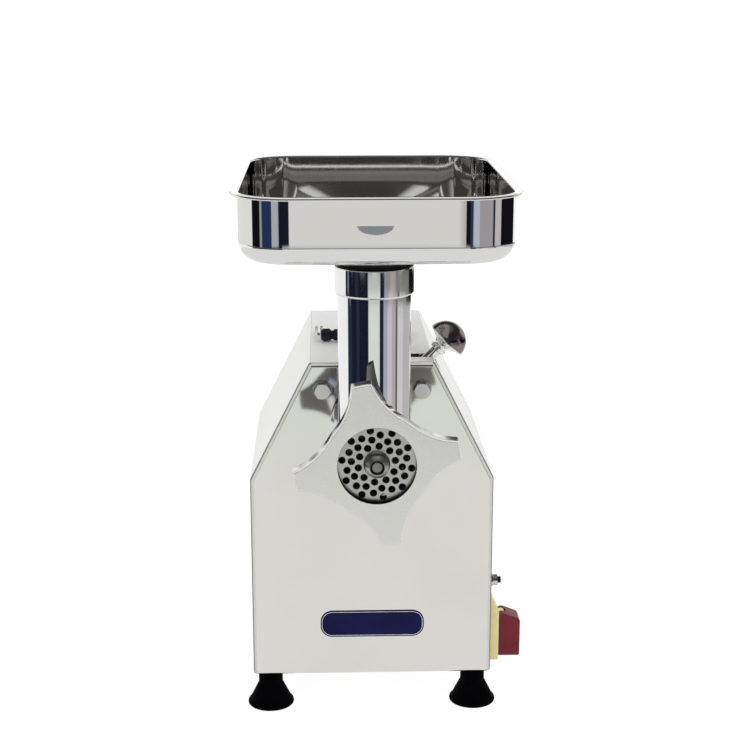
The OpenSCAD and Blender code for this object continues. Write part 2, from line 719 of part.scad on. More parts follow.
module motor_front_bell() color(cast_grey) difference() {
    rod_y(motor_r, cover_back_y, can_y0, 0, motor_z);
    rod_y(layshaft_bearing_r + seat_gap, can_y0 - bearing_w, can_y0 + 1, 0, motor_z);
    rod_y(rotor_shaft_r + 1.5, cover_back_y - 1, can_y0 + 1, 0, motor_z);
    ring_y(motor_r - can_t, layshaft_bearing_r + 5, can_y0 - 8, can_y0 + 1, 0, motor_z);
}
module motor_rear_bell() color(cast_grey) difference() {
    rod_y(motor_r, can_y1, can_y1 + bell_l, 0, motor_z);
    rod_y(layshaft_bearing_r + seat_gap, can_y1 - 1, can_y1 + bearing_w, 0, motor_z);
    rod_y(rotor_shaft_r + 1.5, can_y1 - 1, can_y1 + bell_l + 1, 0, motor_z);
    ring_y(motor_r - can_t, layshaft_bearing_r + 5, can_y1 - 1, can_y1 + 8, 0, motor_z);
}
module motor_bearings() color(polished) {
    bearing(layshaft_bearing_r, rotor_shaft_r + seat_gap, can_y0 - bearing_w, bearing_w, motor_z);
    bearing(layshaft_bearing_r, rotor_shaft_r + seat_gap, can_y1, bearing_w, motor_z);
}
module rotor_shaft() color(polished) {
    gear(fast_module, pinion_teeth, fast_w + 1, 0, fast_y0 - 0.5, motor_z, 90 + 180 / pinion_teeth);
    rod_y(rotor_shaft_r, fast_y0 + fast_w, shaft_end_y, 0, motor_z);
}
module rotor_core() color([0.5, 0.5, 0.52])
    ring_y(rotor_r, rotor_shaft_r + seat_gap, core_y0, core_y1, 0, motor_z);

fan_blades = 7;
module cooling_fan() color(black) {
    fan_r = motor_r - 12;
    difference() {
        union() {
            rod_y(12, fan_y0, fan_y0 + fan_w, 0, motor_z);
            rod_y(fan_r, fan_y0, fan_y0 + 1.5, 0, motor_z);
            for (i = [0:fan_blades - 1]) translate([0, 0, motor_z]) rotate([0, 360 * i / fan_blades, 0])
                block(-0.8, 0.8, fan_y0 + 1, fan_y0 + fan_w, 11, fan_r - 1);
        }
        rod_y(rotor_shaft_r + seat_gap, fan_y0 - 1, fan_y0 + fan_w + 1, 0, motor_z);
    }
}

// Sheet bracket that carries the motor on the base plate
module motor_saddle() color(steel) difference() {
    half = motor_r * 0.7;
    y0 = can_y0 + 8;
    y1 = can_y1 - 8;
    block(-half, half, y0, y1, base_z, motor_z - motor_r * 0.7);
    rod_y(motor_r + 4.5, y0 + 3, y1 - 3, 0, motor_z);
    rod_y(motor_r, y0 - 1, y1 + 1, 0, motor_z);
    block(-half - 1, half + 1, y0 + 3, y1 - 3, base_z + 3, motor_z);
}

cap_r = 19;
cap_l = 75;
cap_x = -body_w / 2 + 38;
cap_y0 = front_y + 35;
cap_z = base_z + cap_r + 2;
module start_capacitor() color([0.2, 0.2, 0.22]) {
    rod_y(cap_r, cap_y0, cap_y0 + cap_l, cap_x, cap_z);
    for (s = [-1, 1]) block(cap_x + s * 6 - 2, cap_x + s * 6 + 2, cap_y0 + cap_l - 1,
                            cap_y0 + cap_l + 7, cap_z - 0.5, cap_z + 0.5);
}
module capacitor_clip() color(steel) difference() {
    union() {
        rod_y(cap_r + 1.55, cap_y0 + 28, cap_y0 + 44, cap_x, cap_z);
        block(cap_x - cap_r - 9, cap_x + cap_r + 9, cap_y0 + 28, cap_y0 + 44, base_z, base_z + 1.5);
    }
    rod_y(cap_r + 0.05, cap_y0 + 20, cap_y0 + 50, cap_x, cap_z);
}

// Gland that the mains lead goes through: nut, threaded neck and domed cap
module cable_gland() color(black) difference() {
    union() {
        rod_y(gland_r, cover_y - 9, back_y + 1, gland_x, gland_z);
        hex_y(24, cover_y - 6, cover_y, gland_x, gland_z);
        hex_y(24, back_y, back_y + 7, gland_x, gland_z);
        translate([gland_x, back_y + 6.9, gland_z]) rotate([-90, 0, 0])
            cylinder(r1 = 11, r2 = 7.5, h = 14);
    }
    rod_y(gland_bore_r, cover_y - 10, back_y + 22, gland_x, gland_z);
}

// ---------- switch and breaker ----------

flap_z1 = switch_z0 + flap_h + 3.7;
flap_z0 = flap_z1 - flap_h;
flap_y0 = switch_y0 + 1.5;
flap_y1 = switch_y1 - 1.5;
flap_wall = 2;
flap_gap = 0.4;
pin_x = switch_face_x + 3;
knuckle_r = 2.6;
pin_z = flap_z1 - knuckle_r;
pin_r = 1.3;
lug_half = 3;
button_r = 5.5;
switch_y = (switch_y0 + switch_y1) / 2;
start_z = switch_z0 + 29.5;
stop_z = switch_z0 + 14.5;
button_back = 3;
start_out = 2;
stop_out = 5;

module switch_base() color(yellow) {
    x0 = body_w / 2;
    wedge_z = switch_z0 + 46.3;
    top = switch_z0 + switch_h;
    difference() {
        union() {
            facing_front(switch_y1) linear_extrude(switch_w) polygon([
                [x0, switch_z0], [switch_face_x - 1, switch_z0], [switch_face_x, switch_z0 + 1.5],
                [switch_face_x, wedge_z], [x0 + switch_t * 0.4, top - 1],
                [x0 + switch_t * 0.3, top], [x0, top]
            ]);
            // lug that carries the cover's hinge pin
            rod_y(3, switch_y - lug_half, switch_y + lug_half, pin_x, pin_z);
            block(switch_face_x - 1, pin_x, switch_y - lug_half, switch_y + lug_half, pin_z - 3, pin_z + 3);
            // collars round the buttons
            for (z = [start_z, stop_z])
                rod_x(button_r + 1.2, switch_face_x - 1, switch_face_x + 1, switch_y, z);
        }
        for (z = [start_z, stop_z]) rod_x(button_r + 0.3, x0 - 1, switch_face_x + 3, switch_y, z);
        rod_y(pin_r + 0.02, switch_y0 - 1, switch_y1 + 1, pin_x, pin_z);
    }
}
module switch_block() color(black) {
    y0 = switch_y0 + block_in + 0.3;
    y1 = switch_y1 - block_in - 0.3;
    block(body_w / 2 - 34, body_w / 2 - 0.05, y0, y1, block_z0, block_z1);
    for (y = [y0 + 4, y1 - 4], z = [block_z0 + 8, block_z1 - 8])
        block(body_w / 2 - 42, body_w / 2 - 33, y - 2.4, y + 2.4, z - 0.4, z + 0.4);
}
module flap_pin() color(polished) rod_y(pin_r, flap_y0 + 1.1, flap_y1 - 1.1, pin_x, pin_z);

module switch_flap() color(red) difference() {
    x0 = switch_face_x + flap_gap;
    x1 = switch_face_x + flap_t;
    z0 = flap_z0;
    z1 = flap_z1;
    profile = concat(
        [[x0, z0], [x1 - 0.8, z0], [x1, z0 + 1.4], [x1, z1 - 7.5], [x1 - 1.6, z1 - 5], [pin_x + 2.4, z1]],
        arc([pin_x, pin_z], knuckle_r, 90, 180, 5)
    );
    facing_front(flap_y1) linear_extrude(flap_y1 - flap_y0) polygon(profile);
    facing_front(flap_y1 - flap_wall) linear_extrude(flap_y1 - flap_y0 - 2 * flap_wall)
        polygon([
            [x0 - 1, z0 + flap_wall], [x1 - flap_wall, z0 + flap_wall], [x1 - flap_wall, z1 - 8.2],
            [x1 - 1.6 - flap_wall, z1 - 5 - flap_wall], [pin_x + 3, z1 - flap_wall - 0.6],
            [pin_x + 3, pin_z - knuckle_r], [x0 - 1, pin_z - knuckle_r]
        ]);
    rod_y(pin_r + fit, flap_y0 + 0.9, flap_y1 - 0.9, pin_x, pin_z);
    // room for the base's lug
    rod_y(4.5, switch_y - lug_half - loose, switch_y + lug_half + loose, pin_x, pin_z);
}

module push_button(z, out) {
    x0 = body_w / 2 + button_back;
    rod_x(button_r, x0, switch_face_x + out - 1, switch_y, z);
    translate([switch_face_x + out - 1, switch_y, z]) rotate([0, 90, 0])
        cylinder(r1 = button_r, r2 = button_r - 1, h = 1);
}
module start_button() color([0.15, 0.5, 0.25]) push_button(start_z, start_out);
module stop_button() color(red) push_button(stop_z, stop_out);

module breaker() color(black) difference() {
    x1 = body_w / 2;
    union() {
        block(x1 - 30, x1 - sheet_t - 1, reset_y - 8, reset_y + 8, reset_z - 7, reset_z + 7);
        rod_x(breaker_r + 2, x1 - sheet_t - 2, x1 - sheet_t, reset_y, reset_z);
        rod_x(breaker_r, x1 - sheet_t - 2, x1 + 7, reset_y, reset_z);
    }
    rod_x(breaker_r - 1 + fit, x1 - 4, x1 + 8, reset_y, reset_z);
}
module breaker_nut() color(polished) difference() {
    x1 = body_w / 2;
    union() {
        facing_right(x1, reset_y, reset_z) cylinder(r = 5.8, h = 3, $fn = 6);
        rod_x(5, x1 + 3, x1 + 7.2, reset_y, reset_z);
    }
    rod_x(breaker_r + 0.03, x1 - 1, x1 + 8, reset_y, reset_z);
}
module reset_button() color(black)
    rod_x(breaker_r - 1, body_w / 2 + 0.5, body_w / 2 + 10.4, reset_y, reset_z);

// ---------- carry handle ----------

bracket_t = 1.5;
eye_r = 3.6;
hinge_z = top_z + eye_r + loose;
hinge_pin_r = 1.75;
elbow_r = rod_r + 0.1;
lug_x = arm_x - rod_r - loose;

// Handle's parts drawn about its own middle
module at_handle() translate([-handle_left, 0, 0]) children();
// Both rivets of the bracket on side s
module at_bracket_rivets(s) {
    for (y = [hinge_y - 6, hinge_y + 6]) translate([s * (lug_x - bracket_t - 4.5), y, top_z]) children();
}
module handle_brackets() color(polished) at_handle() for (s = [0, 1]) mirror([s, 0, 0]) {
    difference() {
        union() {
            block(lug_x - bracket_t - 9, lug_x, hinge_y - 10, hinge_y + 10, top_z, top_z + bracket_t);
            rod_x(eye_r, lug_x - bracket_t, lug_x, hinge_y, hinge_z);
            block(lug_x - bracket_t, lug_x, hinge_y - eye_r, hinge_y + eye_r, top_z, hinge_z);
        }
        rod_x(hinge_pin_r + 0.02, lug_x - 8, lug_x + 1, hinge_y, hinge_z);
        at_bracket_rivets(1) cylinder(r = rivet_r + 0.02, h = 8, center = true);
    }
    at_bracket_rivets(1) {
        cylinder(r = rivet_r, h = 5, center = true);
        translate([0, 0, bracket_t]) cylinder(r1 = rivet_r * 1.7, r2 = rivet_r, h = 1);
    }
}
// Headed pin from the lug through each arm's eye
module handle_hinge_pins() color(polished) at_handle() for (s = [0, 1]) mirror([s, 0, 0]) {
    rod_x(hinge_pin_r, lug_x - bracket_t - 0.5, arm_x + rod_r + 0.4, hinge_y, hinge_z);
    rod_x(hinge_pin_r + 1.1, arm_x + rod_r + 0.3, arm_x + rod_r + 1.1, hinge_y, hinge_z);
}
module handle_bail() color(polished) at_handle() difference() {
    union() {
        rod_x(rod_r, -arm_x + elbow_r, arm_x - elbow_r, handle_y, grip_z);
        for (s = [0, 1]) mirror([s, 0, 0]) {
            translate([arm_x - elbow_r, handle_y + elbow_r, grip_z])
                rotate([0, 0, -90]) rotate_extrude(angle = 90) translate([elbow_r, 0]) circle(r = rod_r);
            rod_y(rod_r, handle_y + elbow_r, hinge_y - eye_r / 2, arm_x, grip_z);
            rod_x(eye_r, arm_x - rod_r, arm_x + rod_r, hinge_y, hinge_z);
        }
    }
    rod_x(hinge_pin_r + fit, -arm_x - 4, -arm_x + 4, hinge_y, hinge_z);
    rod_x(hinge_pin_r + fit, arm_x - 4, arm_x + 4, hinge_y, hinge_z);
}
// Turned grip with a bead at each end
module handle_grip() color(black) at_handle() translate([0, handle_y, grip_z]) rotate([0, 90, 0]) {
    half = arm_x - elbow_r - 0.1;
    bead = 9;
    waist = 3;
    one_end = concat(
        arc([rod_r + 0.05 + grip_r - 4.5, half - 2], 2, 90, 0, 4),
        [[grip_r, half - 2.5], [grip_r, half - bead + 1], [grip_r - 0.8, half - bead]],
        [[grip_r - 1.8, half - bead - 0.5], [grip_r - 1.8, half - bead - waist + 0.5]],
        [[grip_r - 0.6, half - bead - waist]]
    );
    rotate_extrude() polygon(concat(
        [[rod_r + 0.05, half]],
        [for (p = one_end) [min(p.x, grip_r), p.y]],
        [[grip_r, half * 0.4], [grip_r, -half * 0.4]],
        [for (i = [len(one_end) - 1:-1:0]) [min(one_end[i].x, grip_r), -one_end[i].y]],
        [[rod_r + 0.05, -half]]
    ));
}

// ---------- grinding head ----------

neck_y = front_y - neck_out;
plate_y0 = front_y - plate_out;
nut_y0 = plate_y0 - nut_lip - 0.2;
barrel_r = flight_r + flight_gap;
barrel_or = barrel_r + barrel_wall;
mouth_or = nut_base_r - 4.3;
chamber_r = knife_r + 2.2;
knife_y0 = plate_y0 + plate_t + 0.2;
knife_chamber_y1 = knife_y0 + knife_t + 5;
hub_back_y = front_y + hub_l;
barrel_back_y = front_y - loose;
journal_r = 13;
washer_gap = 0.2;
thrust_t = 2;

// The head is welded up from its barrel, the neck that saddles it and the hub behind it
module head_barrel() color(polished) difference() {
    bell_y1 = knife_chamber_y1 + 10;
    bell_y0 = bell_y1 - 2 - mouth_or + barrel_or;
    // turned from the shoulder behind, along the barrel and its bell, and back through the bores
    facing_front(0, 0, head_z) rotate_extrude() polygon([for (p = [
        [barrel_r, barrel_back_y], [barrel_or + 3, barrel_back_y], [barrel_or + 3, front_y - 7],
        [barrel_or, front_y - 7], [barrel_or, bell_y1], [mouth_or, bell_y0],
        [mouth_or, plate_y0 + 0.6], [plate_r + 0.15, plate_y0 + 0.6],
        [plate_r + 0.15, plate_y0 + plate_t], [chamber_r, plate_y0 + plate_t],
        [chamber_r, knife_chamber_y1], [barrel_r, knife_chamber_y1]
    ]) [p[0], -p[1]]]);
    translate([0, neck_y, head_z]) cylinder(r = neck_bore_r, h = neck_h);
    // seat of the pin that stops the plate turning
    translate([plate_r, 0, head_z]) rod_y(pin_seat_r + 0.02, plate_y0 + 1, plate_y0 + plate_t + 4);
}
module head_neck() color(polished) difference() {
    translate([0, neck_y, head_z]) rotate_extrude() polygon([
        [neck_bore_r, 0], [neck_r, 0], [neck_r, neck_h - collar_h],
        [collar_r - 0.3, neck_h - collar_h + 5], [collar_r, neck_h - collar_h + 6],
        [collar_r, neck_h - 0.6], [collar_r - 0.6, neck_h], [seat_r + 0.6, neck_h],
        [seat_r, neck_h - 0.6], [seat_r, neck_h - seat_deep], [neck_bore_r, neck_h - seat_deep]
    ]);
    rod_y(barrel_or, neck_y - neck_r - 1, neck_y + neck_r + 1, 0, head_z);
}
module head_hub() color(polished)
    ring_y(hub_r, journal_r + fit, barrel_back_y, hub_back_y, 0, head_z);

// Rings of holes: radius of the ring and the turn of its first hole
hole_rings = [[15, 11.2], [20.4, 29.2], [24.2, 11.7], [27.9, 28.7]];
holes_per_ring = 10;
hub_seat_r = 8.5;
pin_seat_r = 1.8;
module grinding_plate() color(cast_grey) difference() {
    rod_y(plate_r, plate_y0, plate_y0 + plate_t, 0, head_z);
    rod_y(hub_seat_r + 0.02, plate_y0 - 1, plate_y0 + plate_t + 1, 0, head_z);
    for (h = hole_rings, i = [0:holes_per_ring - 1]) {
        a = h[1] + 360 * i / holes_per_ring;
        rod_y(plate_hole_r, plate_y0 - 1, plate_y0 + plate_t + 1,
              h[0] * cos(a), head_z + h[0] * sin(a));
    }
    translate([plate_r, 0, head_z])
        rod_y(pin_seat_r + 0.15, plate_y0 + 2, plate_y0 + plate_t + 1);
}
// Hub pressed into the plate, with a round nose that the auger's pin runs in
module plate_hub() color(cast_grey) facing_front(plate_y0, 0, head_z) rotate_extrude() polygon([
    [plate_bore_r, -plate_t], [hub_seat_r, -plate_t], [hub_seat_r, 0.02],
    [hub_seat_r + 2.2, 0.02], [hub_seat_r + 2.2, 0.8], [hub_seat_r + 1.2, 1.8],
    [hub_seat_r + 1.1, hub_out - 3.5], [hub_seat_r + 0.7, hub_out - 2.7],
    [plate_bore_r + 0.9, hub_out - 0.2], [plate_bore_r + 0.5, hub_out], [plate_bore_r, hub_out - 0.5]
]);
module plate_pin() color(polished) translate([plate_r, 0, head_z])
    rod_y(pin_seat_r, plate_y0 + 3, plate_y0 + plate_t + 3.8);

// Auger: a core with a journal and drive square behind, a knife square and pin in front
drive_l = 15;
core_back_y = barrel_back_y - thrust_t - 2 * washer_gap;
core_front_y = knife_y0 + knife_t + 0.2;
core_r0 = 14;
core_r1 = 11;
knife_af = 12;
auger_pin_r = 4.2;
flight_turns = 3.25;
flight_w = 6;
flight_tip_w = 3.4;
flight_steps_per_turn = 26;
flight_y0 = core_back_y - flight_w / 2 - 0.3;
flight_len = flight_y0 - core_front_y - flight_w / 2 - 0.3;

// The flight closes up towards the plate: how far along it a turn of t (0 to 1) has come
function flight_along(t) = t * (1.25 - 0.25 * t);
function flight_section(t) =
    let (a = 360 * flight_turns * t, s = flight_along(t), y = flight_y0 - flight_len * s)
    let (run_in = min(1, min(t, 1 - t) * flight_turns * 9))
    let (ri = core_r1 - 3, ro = core_r0 + (flight_r - core_r0) * (0.15 + 0.85 * run_in))
    [for (p = [[ri, -flight_w / 2], [ro, -flight_tip_w / 2], [ro, flight_tip_w / 2], [ri, flight_w / 2]])
        [p.x * cos(a), p.x * sin(a), -(y + p.y)]];

module auger() color(polished) {
    steps = ceil(flight_turns * flight_steps_per_turn);
    translate([0, 0, head_z]) rotate([90, 0, 0]) loft([for (i = [0:steps]) flight_section(i / steps)]);
    facing_front(core_back_y, 0, head_z)
        cylinder(r1 = core_r0, r2 = core_r1, h = core_back_y - core_front_y);
    rod_y(journal_r, core_back_y - 1, hub_back_y + 1.5, 0, head_z);
    translate([0, 0, head_z]) rotate([0, 45, 0])
        block(-drive_af / 2, drive_af / 2, hub_back_y, shaft_y + drive_l, -drive_af / 2, drive_af / 2);
    translate([0, 0, head_z]) rotate([0, 45, 0])
        block(-knife_af / 2, knife_af / 2, knife_y0 + 0.5, core_front_y + 1, -knife_af / 2, knife_af / 2);
    pin_tip_y = plate_y0 - hub_out + 1.2;
    rod_y(auger_pin_r, pin_tip_y, knife_y0 + 1, 0, head_z);
    facing_front(pin_tip_y + 0.1, 0, head_z) cylinder(r1 = auger_pin_r, r2 = auger_pin_r - 0.4, h = 0.5);
}
module thrust_washer() color([0.8, 0.75, 0.6])
    ring_y(barrel_r - 3, journal_r + 0.4, barrel_back_y - washer_gap - thrust_t,
           barrel_back_y - washer_gap, 0, head_z);

// Four swept blades, each bevelled behind the cutting edge that runs on the plate
knife_blades = 4;
knife_hub_r = knife_af / sqrt(2) + 3.5;
blade_back = 5;
blade_edge = 6;
blade_sweep = 10;
blade_bevel = 4.5;
module knife() color(polished) facing_front(knife_y0 + knife_t, 0, head_z) difference() {
    blade_angles = [for (i = [0:knife_blades - 1]) 360 * i / knife_blades + 45];
    reach = (knife_r + 2) * at(1, blade_sweep);
    intersection() {
        cylinder(r = knife_r, h = knife_t);
        union() {
            cylinder(r = knife_hub_r, h = knife_t);
            for (a = blade_angles) rotate(a) linear_extrude(knife_t) polygon([
                [1, -blade_back], reach - [0, blade_back], reach + [0, blade_edge], [1, blade_edge]
            ]);
        }
    }
    for (a = blade_angles) rotate(a) translate([knife_hub_r, blade_edge + 1, knife_t + 0.5])
        rotate([0, 0, blade_sweep]) rotate([-atan2(blade_bevel, knife_t), 0, 0])
            translate([0, 0, -3 * knife_t]) cube([2 * knife_r, knife_r, 3 * knife_t]);
    rotate(45) translate([-knife_af / 2 - fit, -knife_af / 2 - fit, -1])
        cube([knife_af + 2 * fit, knife_af + 2 * fit, knife_t + 2]);
}

// One lobe of the ring nut after another: hollow side, tip, hollow side, stretch of base circle
function nut_outline(d) =
    let (base = nut_base_r - d, tip = nut_tip_r - d, side = lobe_side_r + d, c = nut_base_r + lobe_side_r)
    let (spread = 40, at_c = acos((c * c + side * side - tip * tip) / (2 * c * side)))
    let (at_o = acos((c * c + tip * tip - side * side) / (2 * c * tip)), n = 8)
    [for (q = [0:3]) let (a = nut_turn + 90 * q, low = at(c, a - spread), high = at(c, a + spread)) each concat(
        arc(low, side, a - spread + 180, a - spread + 180 - at_c, n),
        arc([0, 0], tip, a - spread + at_o + 1.2, a + spread - at_o - 1.2, 4),
        arc(high, side, a + spread + 180 + at_c, a + spread + 180, n),
        arc([0, 0], base, a + spread + 2.5, a + 90 - spread - 2.5, 2)
    )];
nut_edge = 1.6;
skirt_l = nut_lip + 15.5;
module ring_nut() color(cast_grey) difference() {
    union() {
        facing_front(0, 0, head_z) loft([
            lift(nut_outline(nut_edge), -(nut_y0 + lobe_t)),
            lift(nut_outline(nut_edge * 0.3), -(nut_y0 + lobe_t - nut_edge * 0.3)),
            lift(nut_outline(0), -(nut_y0 + lobe_t - nut_edge)),
            lift(nut_outline(0), -(nut_y0 + nut_edge)),
            lift(nut_outline(nut_edge * 0.3), -(nut_y0 + nut_edge * 0.3)),
            lift(nut_outline(nut_edge), -nut_y0)
        ]);
        rod_y(nut_base_r - nut_edge - 0.3, nut_y0 + lobe_t - 3, nut_y0 + skirt_l, 0, head_z);
    }
    rod_y(nut_mouth_r, nut_y0 - 1, plate_y0 + 1, 0, head_z);
    facing_front(nut_y0 + 1.1, 0, head_z) cylinder(r1 = nut_mouth_r - 0.3, r2 = nut_mouth_r + 1, h = 1.3);
    rod_y(mouth_or + fit, plate_y0 - 0.2, nut_y0 + skirt_l + 1, 0, head_z);
}

// ---------- feed tray ----------

collar_z = head_z + neck_h;
tray_floor_z = collar_z + throat_h;
rim_z = tray_floor_z + tray_h;
tray_wall_w = tray_w - 2 * tray_lip;
tray_wall_l = tray_l - 2 * tray_lip;
tray_wall_r = tray_corner_r - tray_lip;
corner_n = 8;
rim_edge = tray_t + 0.6;
spigot_r = neck_bore_r - 0.2;
bead_z = collar_z - seat_deep + 0.2;

function tray_ring(d, z) =
    lift(rounded(rect(tray_wall_w - 2 * d, tray_wall_l - 2 * d), tray_wall_r - d, corner_n), z);
function tray_rings(d, floor_at, f) = concat(
    [for (i = [0:6]) let (a = -90 + 15 * i) tray_ring(d + f - f * cos(a), floor_at + f + f * sin(a))]
);
function rim_ring(d, z) = lift(rounded(rect(tray_w - 2 * d, tray_l - 2 * d), tray_corner_r - d, corner_n), z);

module feed_tray() color(polished) translate([0, neck_y, 0]) {
    difference() {
        union() {
            loft(concat(
                tray_rings(0, tray_floor_z, tray_fillet),
                [tray_ring(0, rim_z - tray_t - 1.2), tray_ring(-1.2, rim_z - tray_t)],
                [rim_ring(1, rim_z - tray_t), rim_ring(1, rim_z - rim_edge), rim_ring(0, rim_z - rim_edge)],
                [rim_ring(0, rim_z - 0.6), rim_ring(0.6, rim_z)]
            ));
        }
        loft(concat(
            tray_rings(tray_t, tray_floor_z + tray_t, tray_fillet - tray_t),
            [tray_ring(tray_t, rim_z - 1.2), tray_ring(tray_t - 1.2, rim_z), tray_ring(tray_t - 1.2, rim_z + 1)]
        ));
        translate([0, 0, tray_floor_z - 1]) cylinder(r = spigot_r + 4.9, h = 3);
    }
    // drawn throat that fits the neck, with the bead that it rests on
    rotate_extrude() polygon(concat(
        [[spigot_r - tray_t, collar_z - spigot_l], [spigot_r, collar_z - spigot_l]],
        [[spigot_r, bead_z], [seat_r - 0.3, bead_z], [seat_r - 0.3, bead_z + tray_t]],
        [[spigot_r, bead_z + tray_t]],
        [for (p = arc([spigot_r + 5, tray_floor_z - 5], 5, 180, 90, 4)) p],
        [for (p = arc([spigot_r + 5, tray_floor_z - 5.01], 5 + tray_t, 90, 180, 4)) p]
    ));
}

// ---------- locking screw ----------

dome_r0 = knob_reach - knob_h;
module locking_screw() color(polished) along_lock(0) {
    translate([0, 0, hub_r + 0.25]) cylinder(r1 = lock_r - 1, r2 = lock_r, h = 1);
    translate([0, 0, hub_r + 1.25]) cylinder(r = lock_r, h = dome_r0 - hub_r - 8);
}
// Mushroom knob: a collar, a flared neck and a dome
module locking_knob() color(polished) along_lock(0) difference() {
    ball_r = (knob_r * knob_r + knob_h * knob_h) / (2 * knob_h);
    lip = 1.2;
    half_a = acos(max(-1, 1 - knob_h / ball_r));
    rotate_extrude() polygon(concat(
        [[0, dome_r0 - 12], [lock_r + 2.5, dome_r0 - 12], [lock_r + 2.5, dome_r0 - 8.5], [lock_r + 1.5, dome_r0 - 8]],
        [for (i = [1:5]) [lock_r + 1.5 + (knob_r - lock_r - 3) * pow(i / 5, 2.2), dome_r0 - 8 + 7 * i / 5]],
        [for (i = [0:9]) let (a = half_a * (1 - i / 9)) [ball_r * sin(a), knob_reach - ball_r + ball_r * cos(a)]]
    ));
    translate([0, 0, dome_r0 - 13]) cylinder(r = lock_r + 0.03, h = 6.3);
}

housing_shell();
rear_cover();
rear_cover_screws();
base_plate();
base_screws();
foot_front_left();
foot_front_right();
foot_rear_left();
foot_rear_right();
foot_screws();
badge();
gearbox_casting();
gearbox_cover();
gearbox_screws();
panel_bolts();
panel_washers();
output_bearings();
layshaft_bearings();
motor_bearings();
motor_casing();
motor_stator();
motor_front_bell();
motor_rear_bell();
motor_saddle();
start_capacitor();
capacitor_clip();
cable_gland();
switch_base();
switch_block();
flap_pin();
breaker();
breaker_nut();
handle_brackets();
handle_hinge_pins();
output_shaft();
output_gear();
layshaft();
layshaft_gear();
rotor_shaft();
rotor_core();
cooling_fan();
head_barrel();
head_neck();
head_hub();
grinding_plate();
plate_hub();
plate_pin();
auger();
thrust_washer();
knife();
ring_nut();
feed_tray();
locking_screw();
locking_knob();
handle_bail();
handle_grip();
switch_flap();
start_button();
stop_button();
reset_button();
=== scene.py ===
"""Looks of the table-top electric meat grinder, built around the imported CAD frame."""

import math

import bmesh
import bpy
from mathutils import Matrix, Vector

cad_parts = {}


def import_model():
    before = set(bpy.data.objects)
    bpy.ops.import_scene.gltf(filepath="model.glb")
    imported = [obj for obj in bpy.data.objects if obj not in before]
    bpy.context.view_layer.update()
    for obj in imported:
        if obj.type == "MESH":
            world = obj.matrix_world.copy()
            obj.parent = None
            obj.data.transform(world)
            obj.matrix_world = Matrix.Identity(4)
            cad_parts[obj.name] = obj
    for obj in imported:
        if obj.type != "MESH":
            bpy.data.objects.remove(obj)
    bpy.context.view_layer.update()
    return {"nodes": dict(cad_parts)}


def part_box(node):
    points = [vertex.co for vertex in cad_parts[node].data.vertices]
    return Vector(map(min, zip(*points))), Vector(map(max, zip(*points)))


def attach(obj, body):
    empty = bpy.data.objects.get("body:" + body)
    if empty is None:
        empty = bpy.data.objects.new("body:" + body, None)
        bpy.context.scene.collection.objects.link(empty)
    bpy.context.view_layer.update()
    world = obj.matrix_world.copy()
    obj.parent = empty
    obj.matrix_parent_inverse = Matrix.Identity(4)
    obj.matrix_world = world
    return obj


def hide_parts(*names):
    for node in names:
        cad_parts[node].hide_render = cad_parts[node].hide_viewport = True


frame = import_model()
nodes = frame["nodes"]

scene = bpy.context.scene
mm = 0.001
SHARP = math.radians(35)


def middle(name):
    """The middle of a node's box."""
    low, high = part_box(name)
    return (low + high) / 2


axis_z = middle("grinding_plate").z
neck_y = middle("feed_tray").y
collar_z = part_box("head_neck")[1].z
tray_floor = collar_z + 22.6 * mm
tray_fillet = 13.8 * mm


# ---------- camera and surroundings ----------

def make_camera():
    """A long lens in front of the machine and a little above it."""
    data = bpy.data.cameras.new("camera")
    data.sensor_width = 36
    data.lens = 74.276
    camera = bpy.data.objects.new("camera", data)
    camera.location = (-0.0393, -1.4064, 0.6438)
    camera.rotation_euler = (math.radians(90 - 14.2495), 0, math.radians(-1.8473))
    scene.collection.objects.link(camera)
    scene.camera = camera


class Nodes:
    """A node tree with one short call for each kind of node."""

    def __init__(self, tree):
        self.tree = tree

    def new(self, kind, **settings):
        node = self.tree.nodes.new("ShaderNode" + kind)
        for key, value in settings.items():
            setattr(node, key, value)
        return node

    def link(self, out, socket):
        self.tree.links.new(out, socket)

    def math(self, operation, a, b=None):
        node = self.new("Math", operation=operation)
        for socket, value in zip(node.inputs, (a, b)):
            if value is None:
                continue
            if hasattr(value, "node"):
                self.link(value, socket)
            else:
                socket.default_value = value
        return node.outputs[0]

    def ramp(self, fac, stops):
        """Colours along 0 to 1; a stop is (place, colour)."""
        node = self.new("ValToRGB")
        band = node.color_ramp
        while len(band.elements) < len(stops):
            band.elements.new(0.5)
        for element, (place, colour) in zip(band.elements, stops):
            element.position = place
            element.color = (*colour, 1)
        self.link(fac, node.inputs["Fac"])
        return node.outputs["Color"]

    def mix(self, fac, a, b):
        node = self.new("Mix", data_type="RGBA")
        for socket, value in ((node.inputs[0], fac), (node.inputs[6], a), (node.inputs[7], b)):
            if hasattr(value, "node"):
                self.link(value, socket)
            elif isinstance(value, (int, float)):
                socket.default_value = value
            else:
                socket.default_value = (*value, 1)
        return node.outputs[2]


def axes(n, out):
    """The three parts of a vector."""
    split = n.new("SeparateXYZ")
    n.link(out, split.inputs[0])
    return split.outputs


def tone(r, g, b):
    """The surroundings' colour that polished steel turns into this 8-bit tone."""
    return tuple((c / 255) ** 2.2 / 0.82 for c in (r, g, b))


# tones of the room that the steel mirrors
WHITE = (1.0, 1.0, 1.0)
PALE = (0.84, 0.84, 0.83)
FLOOR = (0.81, 0.805, 0.79)
GLOOM = (0.065, 0.06, 0.056)
ZENITH = (0.22, 0.215, 0.205)
INK = (0.0095, 0.012, 0.024)
DUSK = (0.022, 0.028, 0.05)
BLACK = (0.006, 0.006, 0.008)
UMBER = (0.075, 0.068, 0.062)


